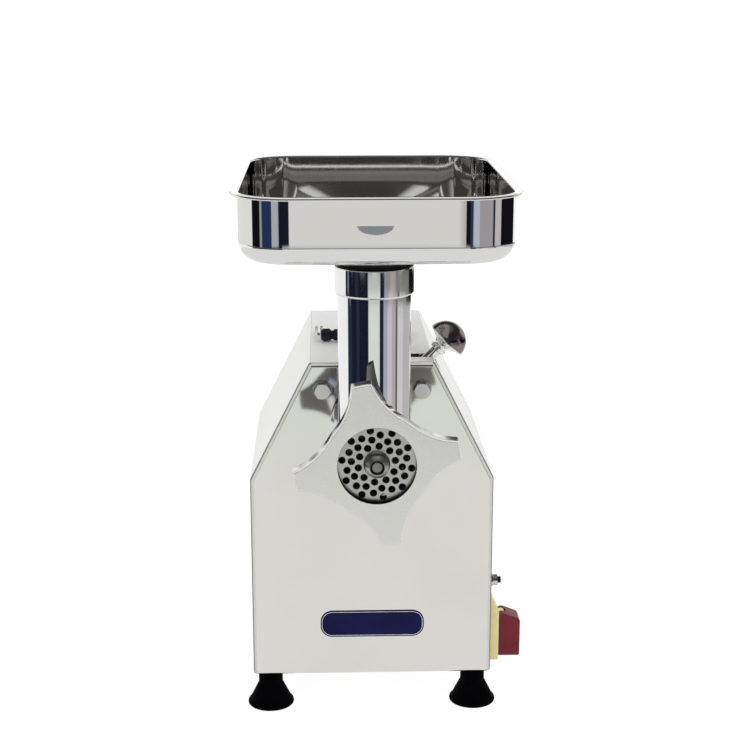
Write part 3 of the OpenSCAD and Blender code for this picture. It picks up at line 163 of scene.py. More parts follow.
def bands(soft, *turns):
    """Ramp stops from (azimuth in degrees, colour): each colour holds up to the next azimuth."""
    stops = []
    for (start, colour), (end, _) in zip(turns, turns[1:]):
        stops.append(((start + soft + 180) / 360, colour))
        stops.append(((end - soft + 180) / 360, colour))
    return stops


def mirrored_room(n):
    """The colour of a white room with dark flags and windows, which polished steel shows as stripes."""
    direction = n.new("TexCoord").outputs["Generated"]
    x, y, z = axes(n, direction)
    azimuth = n.math("ARCTAN2", x, n.math("MULTIPLY", y, -1.0))
    turn = n.math("MULTIPLY_ADD", azimuth, 0.5 / math.pi)
    turn.node.inputs[2].default_value = 0.5
    elevation = n.math("MULTIPLY", n.math("ARCSINE", z), 180 / math.pi)

    # azimuth runs from -180 behind by -90 left, 0 in front and 90 right to 180;
    # the neck, the collar, the tray's outside and its inside each mirror a belt of their own
    neck = n.ramp(turn, bands(
        0.8, (-180, WHITE), (-93, INK), (-90, DUSK), (-75, INK), (-60, DUSK), (-49, INK),
        (-20, tone(206, 212, 206)), (15, tone(32, 35, 45)), (27, tone(157, 160, 170)),
        (40, tone(191, 187, 189)), (55, tone(168, 165, 163)), (69, tone(91, 89, 88)),
        (76, tone(197, 195, 196)), (100, tone(174, 172, 172)), (148, WHITE), (180, WHITE)))
    collar = n.ramp(turn, bands(
        0.8, (-180, WHITE), (-93, INK), (-84.5, tone(150, 150, 155)), (-81.5, INK), (-60, DUSK), (-49, INK),
        (-20, tone(180, 181, 180)), (15, tone(30, 32, 40)), (27, tone(130, 132, 134)),
        (45, tone(156, 150, 147)), (62, tone(125, 121, 118)), (85, tone(116, 117, 114)),
        (117, BLACK), (165, WHITE), (180, WHITE)))
    bowl = n.ramp(turn, bands(
        0.3, (-180, tone(214, 215, 210)), (-92, BLACK), (-71, tone(140, 144, 148)), (-66, tone(38, 50, 82)),
        (-43, tone(160, 163, 166)), (-28, INK), (-6, tone(206, 204, 200)), (6.2, tone(24, 27, 33)),
        (14.5, tone(48, 52, 69)), (21, tone(170, 175, 187)), (34, tone(148, 144, 148)), (66, INK),
        (71, tone(180, 175, 175)), (88, BLACK), (140, WHITE), (180, WHITE)))
    inside = n.ramp(turn, bands(
        2.0, (-180, PALE), (-110, INK), (-80, tone(152, 158, 176)), (-68, INK), (-35, UMBER),
        (35, INK), (68, tone(152, 158, 176)), (80, INK), (110, PALE), (180, PALE)))
    top = n.ramp(turn, bands(
        8.0, (-180, PALE), (-110, (0.10, 0.10, 0.11)), (-50, GLOOM), (50, (0.10, 0.10, 0.11)),
        (110, PALE), (180, PALE)))

    def above(degrees, width):
        """Turns from 0 to 1 round an elevation."""
        node = n.new("MapRange", interpolation_type="SMOOTHSTEP")
        n.link(elevation, node.inputs[0])
        node.inputs[1].default_value = degrees - width / 2
        node.inputs[2].default_value = degrees + width / 2
        return node.outputs[0]

    patches = n.new("TexNoise")
    patches.inputs["Scale"].default_value = 5.0
    patches.inputs["Detail"].default_value = 3.0
    n.link(direction, patches.inputs["Vector"])
    patchy = n.ramp(patches.outputs["Fac"], [(0.40, (0.35, 0.35, 0.35)), (0.62, (1.9, 1.8, 1.7))])
    lit = n.new("Mix", data_type="RGBA", blend_type="MULTIPLY")
    lit.inputs[0].default_value = 1.0
    n.link(inside, lit.inputs[6])
    n.link(patchy, lit.inputs[7])

    # the belts from the floor up to the zenith
    mirrored = n.mix(above(-17.0, 2.0), FLOOR, neck)
    mirrored = n.mix(above(-11.6, 0.3), mirrored, collar)
    mirrored = n.mix(above(-10.3, 0.3), mirrored, bowl)
    mirrored = n.mix(above(-1.5, 1.5), mirrored, lit.outputs[2])
    mirrored = n.mix(above(10.5, 1.0), mirrored, top)
    mirrored = n.mix(above(25.0, 6.0), mirrored, GLOOM)
    mirrored = n.mix(above(56.0, 12.0), mirrored, ZENITH)
    # a lamp's dim bowl, low in front
    bowl_turn, bowl_rise, bowl_width, bowl_depth = 1.88, -9.28, 0.68, 0.45
    degrees = n.math("MULTIPLY", azimuth, 180 / math.pi)
    across = n.math("DIVIDE", n.math("SUBTRACT", degrees, bowl_turn), bowl_width)
    down = n.math("DIVIDE", n.math("SUBTRACT", elevation, bowl_rise), bowl_depth)
    ring = n.math("ADD", n.math("POWER", across, 2.0), n.math("POWER", down, 2.0))
    in_bowl = n.math("MULTIPLY", n.math("LESS_THAN", ring, 1.0), n.math("LESS_THAN", down, 0.0))
    return n.mix(in_bowl, mirrored, tone(128, 131, 136))


def make_world():
    """White for the camera, plain light for matt surfaces and the room for mirrors."""
    world = bpy.data.worlds.new("studio")
    scene.world = world
    world.use_nodes = True
    world.node_tree.nodes.clear()
    n = Nodes(world.node_tree)
    path = n.new("LightPath")
    plain = n.new("Background")
    plain.inputs["Color"].default_value = (1, 1, 1, 1)
    plain.inputs["Strength"].default_value = 0.8
    glossy = n.new("Background")
    n.link(mirrored_room(n), glossy.inputs["Color"])
    seen = n.new("Background")
    seen.inputs["Color"].default_value = (1, 1, 1, 1)
    first = n.new("MixShader")
    n.link(path.outputs["Is Glossy Ray"], first.inputs[0])
    n.link(plain.outputs[0], first.inputs[1])
    n.link(glossy.outputs[0], first.inputs[2])
    second = n.new("MixShader")
    n.link(path.outputs["Is Camera Ray"], second.inputs[0])
    n.link(first.outputs[0], second.inputs[1])
    n.link(seen.outputs[0], second.inputs[2])
    out = n.new("OutputWorld")
    n.link(second.outputs[0], out.inputs["Surface"])


def make_lamp(name, place, aim, size, power):
    """A soft lamp that the steel doesn't mirror."""
    data = bpy.data.lights.new(name, "AREA")
    data.shape = "RECTANGLE"
    data.size, data.size_y = size
    data.energy = power
    lamp = bpy.data.objects.new(name, data)
    lamp.location = place
    lamp.rotation_euler = (Vector(place) - Vector(aim)).to_track_quat("Z", "Y").to_euler()
    lamp.visible_glossy = False
    scene.collection.objects.link(lamp)


def make_floor():
    """A pale floor that keeps a faint shadow."""
    mesh = bpy.data.meshes.new("floor")
    half, below = 3.0, 0.5 * mm
    mesh.from_pydata([(-half, -half, 0), (half, -half, 0), (half, half, 0), (-half, half, 0)],
                     [], [(0, 1, 2, 3)])
    floor = bpy.data.objects.new("floor", mesh)
    floor.location.z = -below
    floor.visible_glossy = False
    scene.collection.objects.link(floor)
    m = bpy.data.materials.new("floor_white")
    m.use_nodes = True
    m.node_tree.nodes.clear()
    n = Nodes(m.node_tree)
    matt = n.new("BsdfDiffuse")
    matt.inputs["Color"].default_value = (0.12, 0.12, 0.12, 1)
    glow = n.new("Emission")
    glow.inputs["Strength"].default_value = 0.93
    both = n.new("AddShader")
    n.link(matt.outputs[0], both.inputs[0])
    n.link(glow.outputs[0], both.inputs[1])
    dim = n.new("BsdfDiffuse")
    dim.inputs["Color"].default_value = (0.75, 0.75, 0.74, 1)
    path = n.new("LightPath")
    pick = n.new("MixShader")
    n.link(path.outputs["Is Camera Ray"], pick.inputs[0])
    n.link(dim.outputs[0], pick.inputs[1])
    n.link(both.outputs[0], pick.inputs[2])
    out = n.new("OutputMaterial")
    n.link(pick.outputs[0], out.inputs["Surface"])
    mesh.materials.append(m)


# ---------- materials ----------

M = {}


def material(name, dark, light, rough, metal=0.0, scale=40.0, grain=(1, 1, 1), grit=400.0,
             bump=0.0, cloud=0.0, **sockets):
    """Adds a finish to M: its colour clouds between two tones, with a fine grain in gloss and bump."""
    m = bpy.data.materials.new(name)
    M[name] = m
    m.use_nodes = True
    n = Nodes(m.node_tree)
    surface = m.node_tree.nodes["Principled BSDF"]
    coord = n.new("TexCoord")
    stretch = n.new("Mapping")
    stretch.inputs["Scale"].default_value = grain
    n.link(coord.outputs["Object"], stretch.inputs["Vector"])
    clouds = n.new("TexNoise")
    clouds.inputs["Scale"].default_value = scale
    clouds.inputs["Detail"].default_value = 5
    n.link(coord.outputs["Object"], clouds.inputs["Vector"])
    fine = n.new("TexNoise")
    fine.inputs["Scale"].default_value = grit
    fine.inputs["Detail"].default_value = 4
    n.link(stretch.outputs["Vector"], fine.inputs["Vector"])
    n.link(n.ramp(clouds.outputs["Fac"], [(0.35, dark), (0.65, light)]), surface.inputs["Base Color"])
    gloss = n.new("MapRange")
    n.link(n.math("ADD", clouds.outputs["Fac"], fine.outputs["Fac"]), gloss.inputs[0])
    gloss.inputs[1].default_value = 0.7
    gloss.inputs[2].default_value = 1.3
    gloss.inputs[3].default_value = rough[0]
    gloss.inputs[4].default_value = rough[1]
    n.link(gloss.outputs[0], surface.inputs["Roughness"])
    if bump or cloud:
        height = n.math("MULTIPLY", fine.outputs["Fac"], bump)
        wave = n.math("MULTIPLY", clouds.outputs["Fac"], cloud)
        bumped = n.new("Bump")
        bumped.inputs["Distance"].default_value = 1.0
        n.link(n.math("ADD", height, wave), bumped.inputs["Height"])
        n.link(bumped.outputs["Normal"], surface.inputs["Normal"])
    surface.inputs["Metallic"].default_value = metal
    for key, value in sockets.items():
        surface.inputs[key.replace("_", " ")].default_value = value


def cover(name, mask, colour, rough=None, metal=None):
    """Gives the places where a mask of the position or the normal is 1 another finish; its colour is often
    painted light or shade.
    """
    n = Nodes(M[name].node_tree)
    surface = n.tree.nodes["Principled BSDF"]
    fac = mask(n)
    base = surface.inputs["Base Color"]
    n.link(n.mix(fac, base.links[0].from_socket, colour), base)
    if rough is not None:
        socket = surface.inputs["Roughness"]
        gloss = n.new("Mix", data_type="FLOAT")
        n.link(fac, gloss.inputs[0])
        n.link(socket.links[0].from_socket, gloss.inputs[2])
        gloss.inputs[3].default_value = rough
        n.link(gloss.outputs[0], socket)
    if metal is not None:
        socket = surface.inputs["Metallic"]
        share = n.new("Mix", data_type="FLOAT")
        n.link(fac, share.inputs[0])
        if socket.links:
            n.link(socket.links[0].from_socket, share.inputs[2])
        else:
            share.inputs[2].default_value = socket.default_value
        share.inputs[3].default_value = metal
        n.link(share.outputs[0], socket)


def matt(name, mask, colour):
    """Paints the places of a mask with a plain diffuse tone that mirrors nothing: painted light or shade in
    place of what the steel would mirror there.
    """
    cover(name, mask, colour, 0.5, 0.0)


def within(radius, z):
    """A mask that is 1 nearer than a radius to the line along Y at a height."""
    def mask(n):
        place = axes(n, n.new("NewGeometry").outputs["Position"])
        up = n.math("SUBTRACT", place[2], z)
        square = n.math("ADD", n.math("POWER", place[0], 2.0), n.math("POWER", up, 2.0))
        return n.math("LESS_THAN", square, radius * radius)
    return mask


ANY = (-2, 2)


def span(n, value, low, high):
    """1 where a value lies between two bounds."""
    return n.math("MULTIPLY", n.math("GREATER_THAN", value, low), n.math("LESS_THAN", value, high))


def facing(x=ANY, y=ANY, z=ANY):
    """A mask that is 1 where each part of the normal lies between its bounds."""
    def mask(n):
        normal = axes(n, n.new("TexCoord").outputs["Normal"])
        parts = [span(n, out, *bounds) for out, bounds in zip(normal, (x, y, z))]
        return n.math("MULTIPLY", n.math("MULTIPLY", parts[0], parts[1]), parts[2])
    return mask


def before(y):
    """A mask that is 1 in front of a place."""
    def mask(n):
        place = axes(n, n.new("TexCoord").outputs["Object"])
        return n.math("LESS_THAN", place[1], y)
    return mask


def both(first, second):
    """A mask that is 1 where two masks are."""
    return lambda n: n.math("MULTIPLY", first(n), second(n))


def tube(x, y, radius, z):
    """A mask that is 1 nearer than a radius to an upright line, between two heights."""
    def mask(n):
        place = axes(n, n.new("TexCoord").outputs["Object"])
        dx = n.math("SUBTRACT", place[0], x)
        dy = n.math("SUBTRACT", place[1], y)
        square = n.math("ADD", n.math("POWER", dx, 2.0), n.math("POWER", dy, 2.0))
        near = n.math("LESS_THAN", square, radius * radius)
        return n.math("MULTIPLY", near, span(n, place[2], *z))
    return mask


def polished(name, rough=(0.03, 0.06), cloud=0.000004):
    """Adds a mirror-bright steel."""
    material(name, (0.80, 0.80, 0.81), (0.84, 0.84, 0.84), rough, 1.0,
             scale=30, grit=700, bump=0.0000006, cloud=cloud)


def housing_finish_and_painted_light():
    """Bright sheet; its shoulders and top are painted a plain light tone, and its folds are painted lighter
    and then darker as they turn, standing in for what the steel mirrors there.
    """
    name = "housing_steel"
    material(name, (0.82, 0.80, 0.78), (0.86, 0.84, 0.82), (0.06, 0.11), 1.0,
             scale=14, grain=(1, 1, 0.06), grit=900, bump=0.0000006, cloud=0.00001)
    # painted light: the shoulders and the top get a plain light tone in place of their reflection
    matt(name, facing(y=(-0.1, 0.1), z=(0.3, 0.9)), (0.82, 0.82, 0.81))
    matt(name, facing(z=(0.97, 2)), (0.70, 0.70, 0.69))
    # painted reflection: the folds are painted light grey where they start to turn and dark grey further
    # round, in place of what they mirror
    for turned, colour in (((-0.988, -0.70), (0.56, 0.56, 0.54)), ((-0.70, -0.10), (0.18, 0.18, 0.18))):
        for side in ((0.1, 2), (-2, -0.1)):
            matt(name, facing(x=side, y=turned), colour)


def head_finishes_and_painted_shade():
    """The barrel, painted dark in its bore for the shade there, and the neck, painted dark in the seat at
    its top for the shade there.
    """
    bore, seat, seat_deep = 31 * mm, 31.9 * mm, 6.5 * mm
    polished("barrel_steel", (0.04, 0.08), 0.000006)
    # painted shade: the barrel's bore is painted near black
    cover("barrel_steel", within(bore, axis_z), (0.03, 0.03, 0.03), 0.5)
    polished("neck_steel")
    # painted shade: the seat at the neck's top is painted near black
    seat_shade = tube(0, neck_y, seat, (collar_z - seat_deep, collar_z + 1 * mm))
    cover("neck_steel", seat_shade, (0.01, 0.01, 0.012), 0.6, 0.0)


def nut_finish_and_painted_light():
    """Machined in front, polished round its sides, painted darker behind and near black in its mouth for
    the shade there, and painted a plain grey on its rounded front edges in place of their reflection.
    """
    name = "satin_steel"
    material(name, (0.84, 0.83, 0.81), (0.88, 0.87, 0.85), (0.24, 0.32), 1.0,
             scale=50, grit=1500, bump=0.000003)
    # painted shade: the faces turned backward are painted darker
    cover(name, facing(y=(0.3, 2)), (0.30, 0.30, 0.29), 0.45)
    cover(name, facing(y=(-0.3, 0.3)), (0.84, 0.84, 0.83), 0.08)
    # painted reflection: the rounded front edges get a plain grey tone in place of what they mirror
    matt(name, facing(y=(-0.97, -0.3)), (0.62, 0.62, 0.61))
    # painted shade: the nut's mouth is painted near black
    cover(name, within(31.6 * mm, axis_z), (0.02, 0.02, 0.02), 0.5)


def tray_finish_and_painted_light():
    """Brightest on the outside in front; painted light and shade give a dark line over the bottom's bend, a
    darker underside and a near black throat.
    """
    name = "tray_steel"
    material(name, (0.80, 0.80, 0.80), (0.84, 0.84, 0.83), (0.03, 0.05), 1.0,
             scale=30, grit=700, bump=0.0000004, cloud=0.000003)
    in_front = before(neck_y - 60 * mm)
    cover(name, both(facing(y=(-2, -0.05)), in_front), (0.82, 0.82, 0.815), 0.008)
    bend_z = tray_floor + tray_fillet
    # painted reflection: a thin dark line along the bend at the bottom, in front
    line = tube(0, neck_y, 1.0, (bend_z - 0.35 * mm, bend_z + 0.25 * mm))
    cover(name, both(line, facing(y=(-2, -0.6))), (0.30, 0.29, 0.27), 0.3)
    # painted shade: the underside, turned down and a little forward, is painted darker grey
    cover(name, facing(y=(-0.35, -0.08), z=(-2, -0.9)), (0.42, 0.42, 0.41), 0.2)
    # painted shade: the throat where it enters the collar is painted near black
    throat = tube(0, neck_y, 30.8 * mm, (collar_z - 30 * mm, collar_z + 4.6 * mm))
    cover(name, throat, (0.01, 0.01, 0.012), 0.6, 0.0)


def bolt_finish_and_painted_light():
    """A face painted bright and flats painted dark for the shade they are in."""
    name = "bolt_steel"
    material(name, (0.62, 0.61, 0.59), (0.70, 0.69, 0.67), (0.2, 0.3), 1.0,
             scale=200, grit=1600, bump=0.000002)
    # painted light: a bright plain face, and dark flats for their shade
    matt(name, facing(y=(-2, -0.9)), (0.60, 0.60, 0.58))
    matt(name, facing(y=(-0.6, 0.6)), (0.10, 0.10, 0.10))


def other_metals():
    """The metals that are one tone all over."""
    polished("polished_steel")
    material("knob_steel", (0.92, 0.92, 0.92), (0.95, 0.95, 0.95), (0.20, 0.26), 1.0,
             scale=60, grit=700, bump=0.0000006, cloud=0.000004)
    # painted reflection: the dome's polished steel is given a dark brownish colour for what it mirrors
    material("knob_painted_dark", (0.24, 0.185, 0.20), (0.30, 0.28, 0.29), (0.10, 0.16), 1.0,
             scale=60, grit=700, bump=0.0000006, cloud=0.000004)
    material("plate_steel", (0.50, 0.50, 0.49), (0.64, 0.64, 0.63), (0.24, 0.36), 1.0,
             scale=160, grit=1800, bump=0.000005)
    material("dark_steel", (0.05, 0.05, 0.05), (0.08, 0.08, 0.08), (0.3, 0.45), 1.0,
             scale=120, grit=1500, bump=0.000008)
    material("auger_steel", (0.28, 0.28, 0.28), (0.36, 0.36, 0.36), (0.36, 0.46), 1.0,
             scale=120, grit=1500, bump=0.000008)
    material("zinc_steel", (0.62, 0.61, 0.57), (0.74, 0.73, 0.69), (0.14, 0.22), 1.0,
             scale=200, grit=1600, bump=0.000002)
    material("cast_aluminium", (0.50, 0.50, 0.49), (0.62, 0.62, 0.61), (0.45, 0.6), 1.0,
             scale=200, grit=1200, bump=0.00006)
    material("gear_steel", (0.38, 0.38, 0.37), (0.5, 0.5, 0.48), (0.25, 0.4), 1.0,
             scale=200, grit=1500, bump=0.000008)
    material("bronze", (0.5, 0.3, 0.13), (0.62, 0.4, 0.2), (0.3, 0.45), 1.0,
             scale=160, grit=1800, bump=0.00001)


def plastics_and_paints():
    """Plastic, rubber, paint, enamel and the motor's varnished windings."""
    material("motor_paint", (0.06, 0.07, 0.08), (0.09, 0.1, 0.11), (0.4, 0.55),
             scale=90, grit=900, bump=0.00002)
    material("winding_pack", (0.28, 0.14, 0.06), (0.42, 0.22, 0.1), (0.35, 0.5),
             scale=300, grain=(1, 0.05, 1), grit=2600, bump=0.00008)
    material("black_rubber", (0.0006, 0.0006, 0.001), (0.0012, 0.0012, 0.002), (0.55, 0.7),
             scale=80, grit=2200, bump=0.00003, Specular_IOR_Level=0.02)
    material("black_plastic", (0.005, 0.005, 0.006), (0.010, 0.010, 0.011), (0.28, 0.38),
             scale=90, grit=2600, bump=0.00002, Specular_IOR_Level=0.3)
    material("grip_plastic", (0.003, 0.003, 0.010), (0.005, 0.005, 0.016), (0.28, 0.38),
             scale=90, grit=2600, bump=0.00002, Specular_IOR_Level=0.3)
    material("yellow_plastic", (0.80, 0.70, 0.33), (0.86, 0.76, 0.38), (0.34, 0.44),
             scale=60, grit=2600, bump=0.000012)
    material("red_plastic", (0.125, 0.010, 0.018), (0.165, 0.014, 0.024), (0.25, 0.35),
             scale=60, grit=2600, bump=0.000012, Specular_IOR_Level=0.25)
    material("green_plastic", (0.02, 0.2, 0.06), (0.03, 0.26, 0.08), (0.3, 0.4),
             scale=60, grit=2600, bump=0.000012)
    material("badge_blue", (0.003, 0.003, 0.040), (0.005, 0.005, 0.052), (0.18, 0.26),
             scale=60, grit=1800, bump=0.000004, Specular_IOR_Level=0.12)
    material("badge_line", (0.62, 0.64, 0.70), (0.70, 0.72, 0.78), (0.3, 0.4),
             scale=60, grit=1800, bump=0.000004)


def make_finishes():
    """Fills M."""
    housing_finish_and_painted_light()
    head_finishes_and_painted_shade()
    nut_finish_and_painted_light()
    tray_finish_and_painted_light()
    bolt_finish_and_painted_light()
    other_metals()
    plastics_and_paints()


# the nodes of each finish
FINISHES = {
    "housing_steel": ["housing_shell", "rear_cover", "base_plate", "motor_saddle", "capacitor_clip"],
    "neck_steel": ["head_neck"],
    "polished_steel": ["head_hub", "feed_tray", "locking_screw", "locking_knob", "handle_bail",
                       "handle_brackets", "handle_hinge_pins", "flap_pin"],
    "barrel_steel": ["head_barrel"],
    "satin_steel": ["ring_nut"],
    "plate_steel": ["grinding_plate", "plate_hub", "plate_pin"],
    "dark_steel": ["knife"],
    "auger_steel": ["auger"],
    "zinc_steel": ["rear_cover_screws", "base_screws", "foot_screws", "gearbox_screws",
                   "panel_washers", "breaker_nut"],
    "bolt_steel": ["panel_bolts"],
    "cast_aluminium": ["gearbox_casting", "gearbox_cover", "motor_front_bell", "motor_rear_bell"],
    "gear_steel": ["output_gear", "layshaft_gear", "output_shaft", "layshaft", "rotor_shaft", "rotor_core",
                   "output_bearings", "layshaft_bearings", "motor_bearings"],
    "motor_paint": ["motor_casing", "start_capacitor"],
    "winding_pack": ["motor_stator"],
    "black_rubber": ["foot_front_left", "foot_front_right", "foot_rear_left", "foot_rear_right"],
    "black_plastic": ["cable_gland", "switch_block", "breaker", "reset_button", "cooling_fan"],
    "grip_plastic": ["handle_grip"],
    "yellow_plastic": ["switch_base"],
    "red_plastic": ["switch_flap", "stop_button"],
    "green_plastic": ["start_button"],
    "bronze": ["thrust_washer"],
    "badge_blue": ["badge"],
}


def smooth_folds():
    """A modifier's node group: joins the facets and rounds off all but the sharp edges."""
    group = bpy.data.node_groups.new("smooth_folds", "GeometryNodeTree")
    group.interface.new_socket("Geometry", in_out="INPUT", socket_type="NodeSocketGeometry")
    group.interface.new_socket("Geometry", in_out="OUTPUT", socket_type="NodeSocketGeometry")
    make = group.nodes.new
    link = group.links.new
    start, end = make("NodeGroupInput"), make("NodeGroupOutput")
    merge = make("GeometryNodeMergeByDistance")
    merge.inputs["Distance"].default_value = 0.004 * mm
    faces = make("GeometryNodeSetShadeSmooth")
    edges = make("GeometryNodeSetShadeSmooth")
    edges.domain = "EDGE"
    edges.inputs["Shade Smooth"].default_value = False
    angle = make("GeometryNodeInputMeshEdgeAngle")
    sharp = make("FunctionNodeCompare")
    sharp.operation = "GREATER_THAN"
    sharp.inputs[1].default_value = SHARP
    link(start.outputs[0], merge.inputs["Geometry"])
    link(merge.outputs[0], faces.inputs["Geometry"])
    link(faces.outputs[0], edges.inputs["Geometry"])
    link(angle.outputs["Unsigned Angle"], sharp.inputs[0])
    link(sharp.outputs[0], edges.inputs["Selection"])
    link(edges.outputs[0], end.inputs[0])
    return group


def soften(obj, group):
    """Shades a faceted CAD node smooth over its folds, with its flat faces left flat."""
    mesh = obj.data
    if "custom_normal" in mesh.attributes:
        mesh.attributes.remove(mesh.attributes["custom_normal"])
    modifier = obj.modifiers.new("smooth_folds", "NODES")
    modifier.node_group = group
    weighted = obj.modifiers.new("weighted", "WEIGHTED_NORMAL")
    weighted.keep_sharp = True
    weighted.weight = 100


def dress_nodes():
    """Gives each node its finish, and the sheets and the flight soft folds."""
    for finish, names in FINISHES.items():
        for name in names:
            mesh = nodes[name].data
            mesh.materials.clear()
            mesh.materials.append(M[finish])
    group = smooth_folds()
    for name in ("housing_shell", "rear_cover", "auger"):
        soften(nodes[name], group)


# ---------- pieces ----------

def ring_skin(rings, closed=False):
    """Points and faces of a surface over rings of equally many points."""
    count, turns = len(rings[0]), len(rings)
    points = [p for ring in rings for p in ring]
    faces = []
    for k in range(turns if closed else turns - 1):
        a, b = k * count, (k + 1) % turns * count
        for i in range(count):
            j = (i + 1) % count
            faces.append((a + i, a + j, b + j, b + i))
    return points, faces


def make_piece(name, points, faces, body, finish, replaced=()):
    """A smooth piece that rides on a body, with the edges over SHARP left sharp."""
    mesh = bpy.data.meshes.new(name)
    mesh.from_pydata(points, [], faces)
    build = bmesh.new()
    build.from_mesh(mesh)
    bmesh.ops.recalc_face_normals(build, faces=build.faces)
    for edge in build.edges:
        if len(edge.link_faces) == 2 and edge.calc_face_angle(0) > SHARP:
            edge.smooth = False
    build.to_mesh(mesh)
    build.free()
    mesh.polygons.foreach_set("use_smooth", [True] * len(mesh.polygons))
    mesh.materials.append(M[finish])
    piece = bpy.data.objects.new(name, mesh)
    scene.collection.objects.link(piece)
    weighted = piece.modifiers.new("weighted", "WEIGHTED_NORMAL")
    weighted.keep_sharp = True
    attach(piece, body)
    if replaced:
        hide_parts(*replaced)
    return piece


def rounded_rect(width, length, radius, corner=16, side=6):
    """Points round a rectangle with rounded corners, anticlockwise from the middle of +X."""
    points = []
    hx, hy = width / 2 - radius, length / 2 - radius
    centres = [(hx, hy, 0), (-hx, hy, 90), (-hx, -hy, 180), (hx, -hy, 270)]
    for cx, cy, start in centres:
        for i in range(corner + 1):
            a = math.radians(start + 90 * i / corner)
            points.append((cx + radius * math.cos(a), cy + radius * math.sin(a)))
    out = []
    for i, p in enumerate(points):
        q = points[(i + 1) % len(points)]
        out.append(p)
        if i % (corner + 1) == corner:
            out += [(p[0] + (q[0] - p[0]) * k / side, p[1] + (q[1] - p[1]) * k / side)
                    for k in range(1, side)]
    return out


def make_tray():
    """The tray's sheet, from the spigot up round the bowl and its lip and back down outside."""
    low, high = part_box("feed_tray")
    cx, cy = middle("feed_tray").xy
    width, length, top = high.x - low.x, high.y - low.y, high.z
    floor, fillet = tray_floor, tray_fillet
    bead_z, mouth_z = collar_z - 5.8 * mm, collar_z + 4.2 * mm
    sheet, lip, corner = 1.2 * mm, 4.7 * mm, 46 * mm
    spigot, bead, mouth = 25.8 * mm, 29.2 * mm, 30.5 * mm
    wall_w, wall_l, wall_r = width - 2 * lip, length - 2 * lip, corner - lip
    # the bowl is drawn a little inside its box and left of its spigot
    wall_in, wall_left, rim_in, rim_left = 1.1 * mm, 1.2 * mm, 0.6 * mm, 1.4 * mm

    rings = []
    outline = rounded_rect(width, length, corner)
    turns = [math.atan2(p[1] / length, p[0] / width) for p in outline]

    def circle(radius, z):
        rings.append([(cx + radius * math.cos(a), cy + radius * math.sin(a), z) for a in turns])

    def wall(inset, z):
        inset += wall_in
        shape = rounded_rect(wall_w - 2 * inset, wall_l - 2 * inset, wall_r - inset)
        rings.append([(cx - wall_left + p[0], cy + p[1], z) for p in shape])

    def rim(inset, z):
        inset += rim_in
        shape = rounded_rect(width - 2 * inset, length - 2 * inset, corner - inset)
        rings.append([(cx - rim_left + p[0], cy + p[1], z) for p in shape])

    steps, few = 8, 5
    # inside, upwards
    circle(spigot - sheet, low.z)
    circle(spigot - sheet, mouth_z)
    circle(mouth - sheet, mouth_z + sheet)
    circle(mouth, mouth_z + 1.6 * sheet)
    for i in range(steps + 1):
        a = math.radians(90 * i / steps)
        bend = fillet - sheet
        wall(sheet + bend - bend * math.sin(a), floor + sheet + bend - bend * math.cos(a))
    turn_in = 1.6 * mm
    wall(sheet, top - turn_in)
    for i in range(1, few + 1):
        a = math.radians(90 * i / few)
        wall(sheet - turn_in * (1 - math.cos(a)), top - turn_in + turn_in * math.sin(a))
    # lip, its rounded edge and its underside
    edge, fall = 0.9 * mm, 0.35 * mm
    for i in range(steps + 1):
        a = math.radians(180 * i / steps)
        rim(edge - edge * math.sin(a), top - fall - edge + edge * math.cos(a))
    under, turn_out = top - sheet - 0.2 * mm, 1.2 * mm
    wall(-turn_out, under)
    # outside, downwards
    for i in range(1, few + 1):
        a = math.radians(90 * i / few)
        wall(-turn_out + turn_out * math.sin(a), under - turn_out + turn_out * math.cos(a))
    for i in range(steps + 1):
        a = math.radians(90 * i / steps)
        wall(fillet - fillet * math.cos(a), floor + fillet - fillet * math.sin(a))
    circle(mouth + 1.2 * mm, mouth_z + 0.5 * mm)
    circle(mouth, mouth_z)
    circle(spigot + 0.5 * mm, mouth_z)
    # the bead that rests in the collar
    bead_r = 1.3 * mm
    circle(spigot, bead_z + 2 * bead_r)
    for i in range(7):
        a = math.radians(180 * i / 6)
        circle(bead - bead_r + bead_r * math.sin(a), bead_z + bead_r + bead_r * math.cos(a))
    circle(spigot, bead_z)
    circle(spigot, low.z)
    points, faces = ring_skin(rings, closed=True)
    make_piece("tray_sheet", points, faces, "tray", "tray_steel", ["feed_tray"])


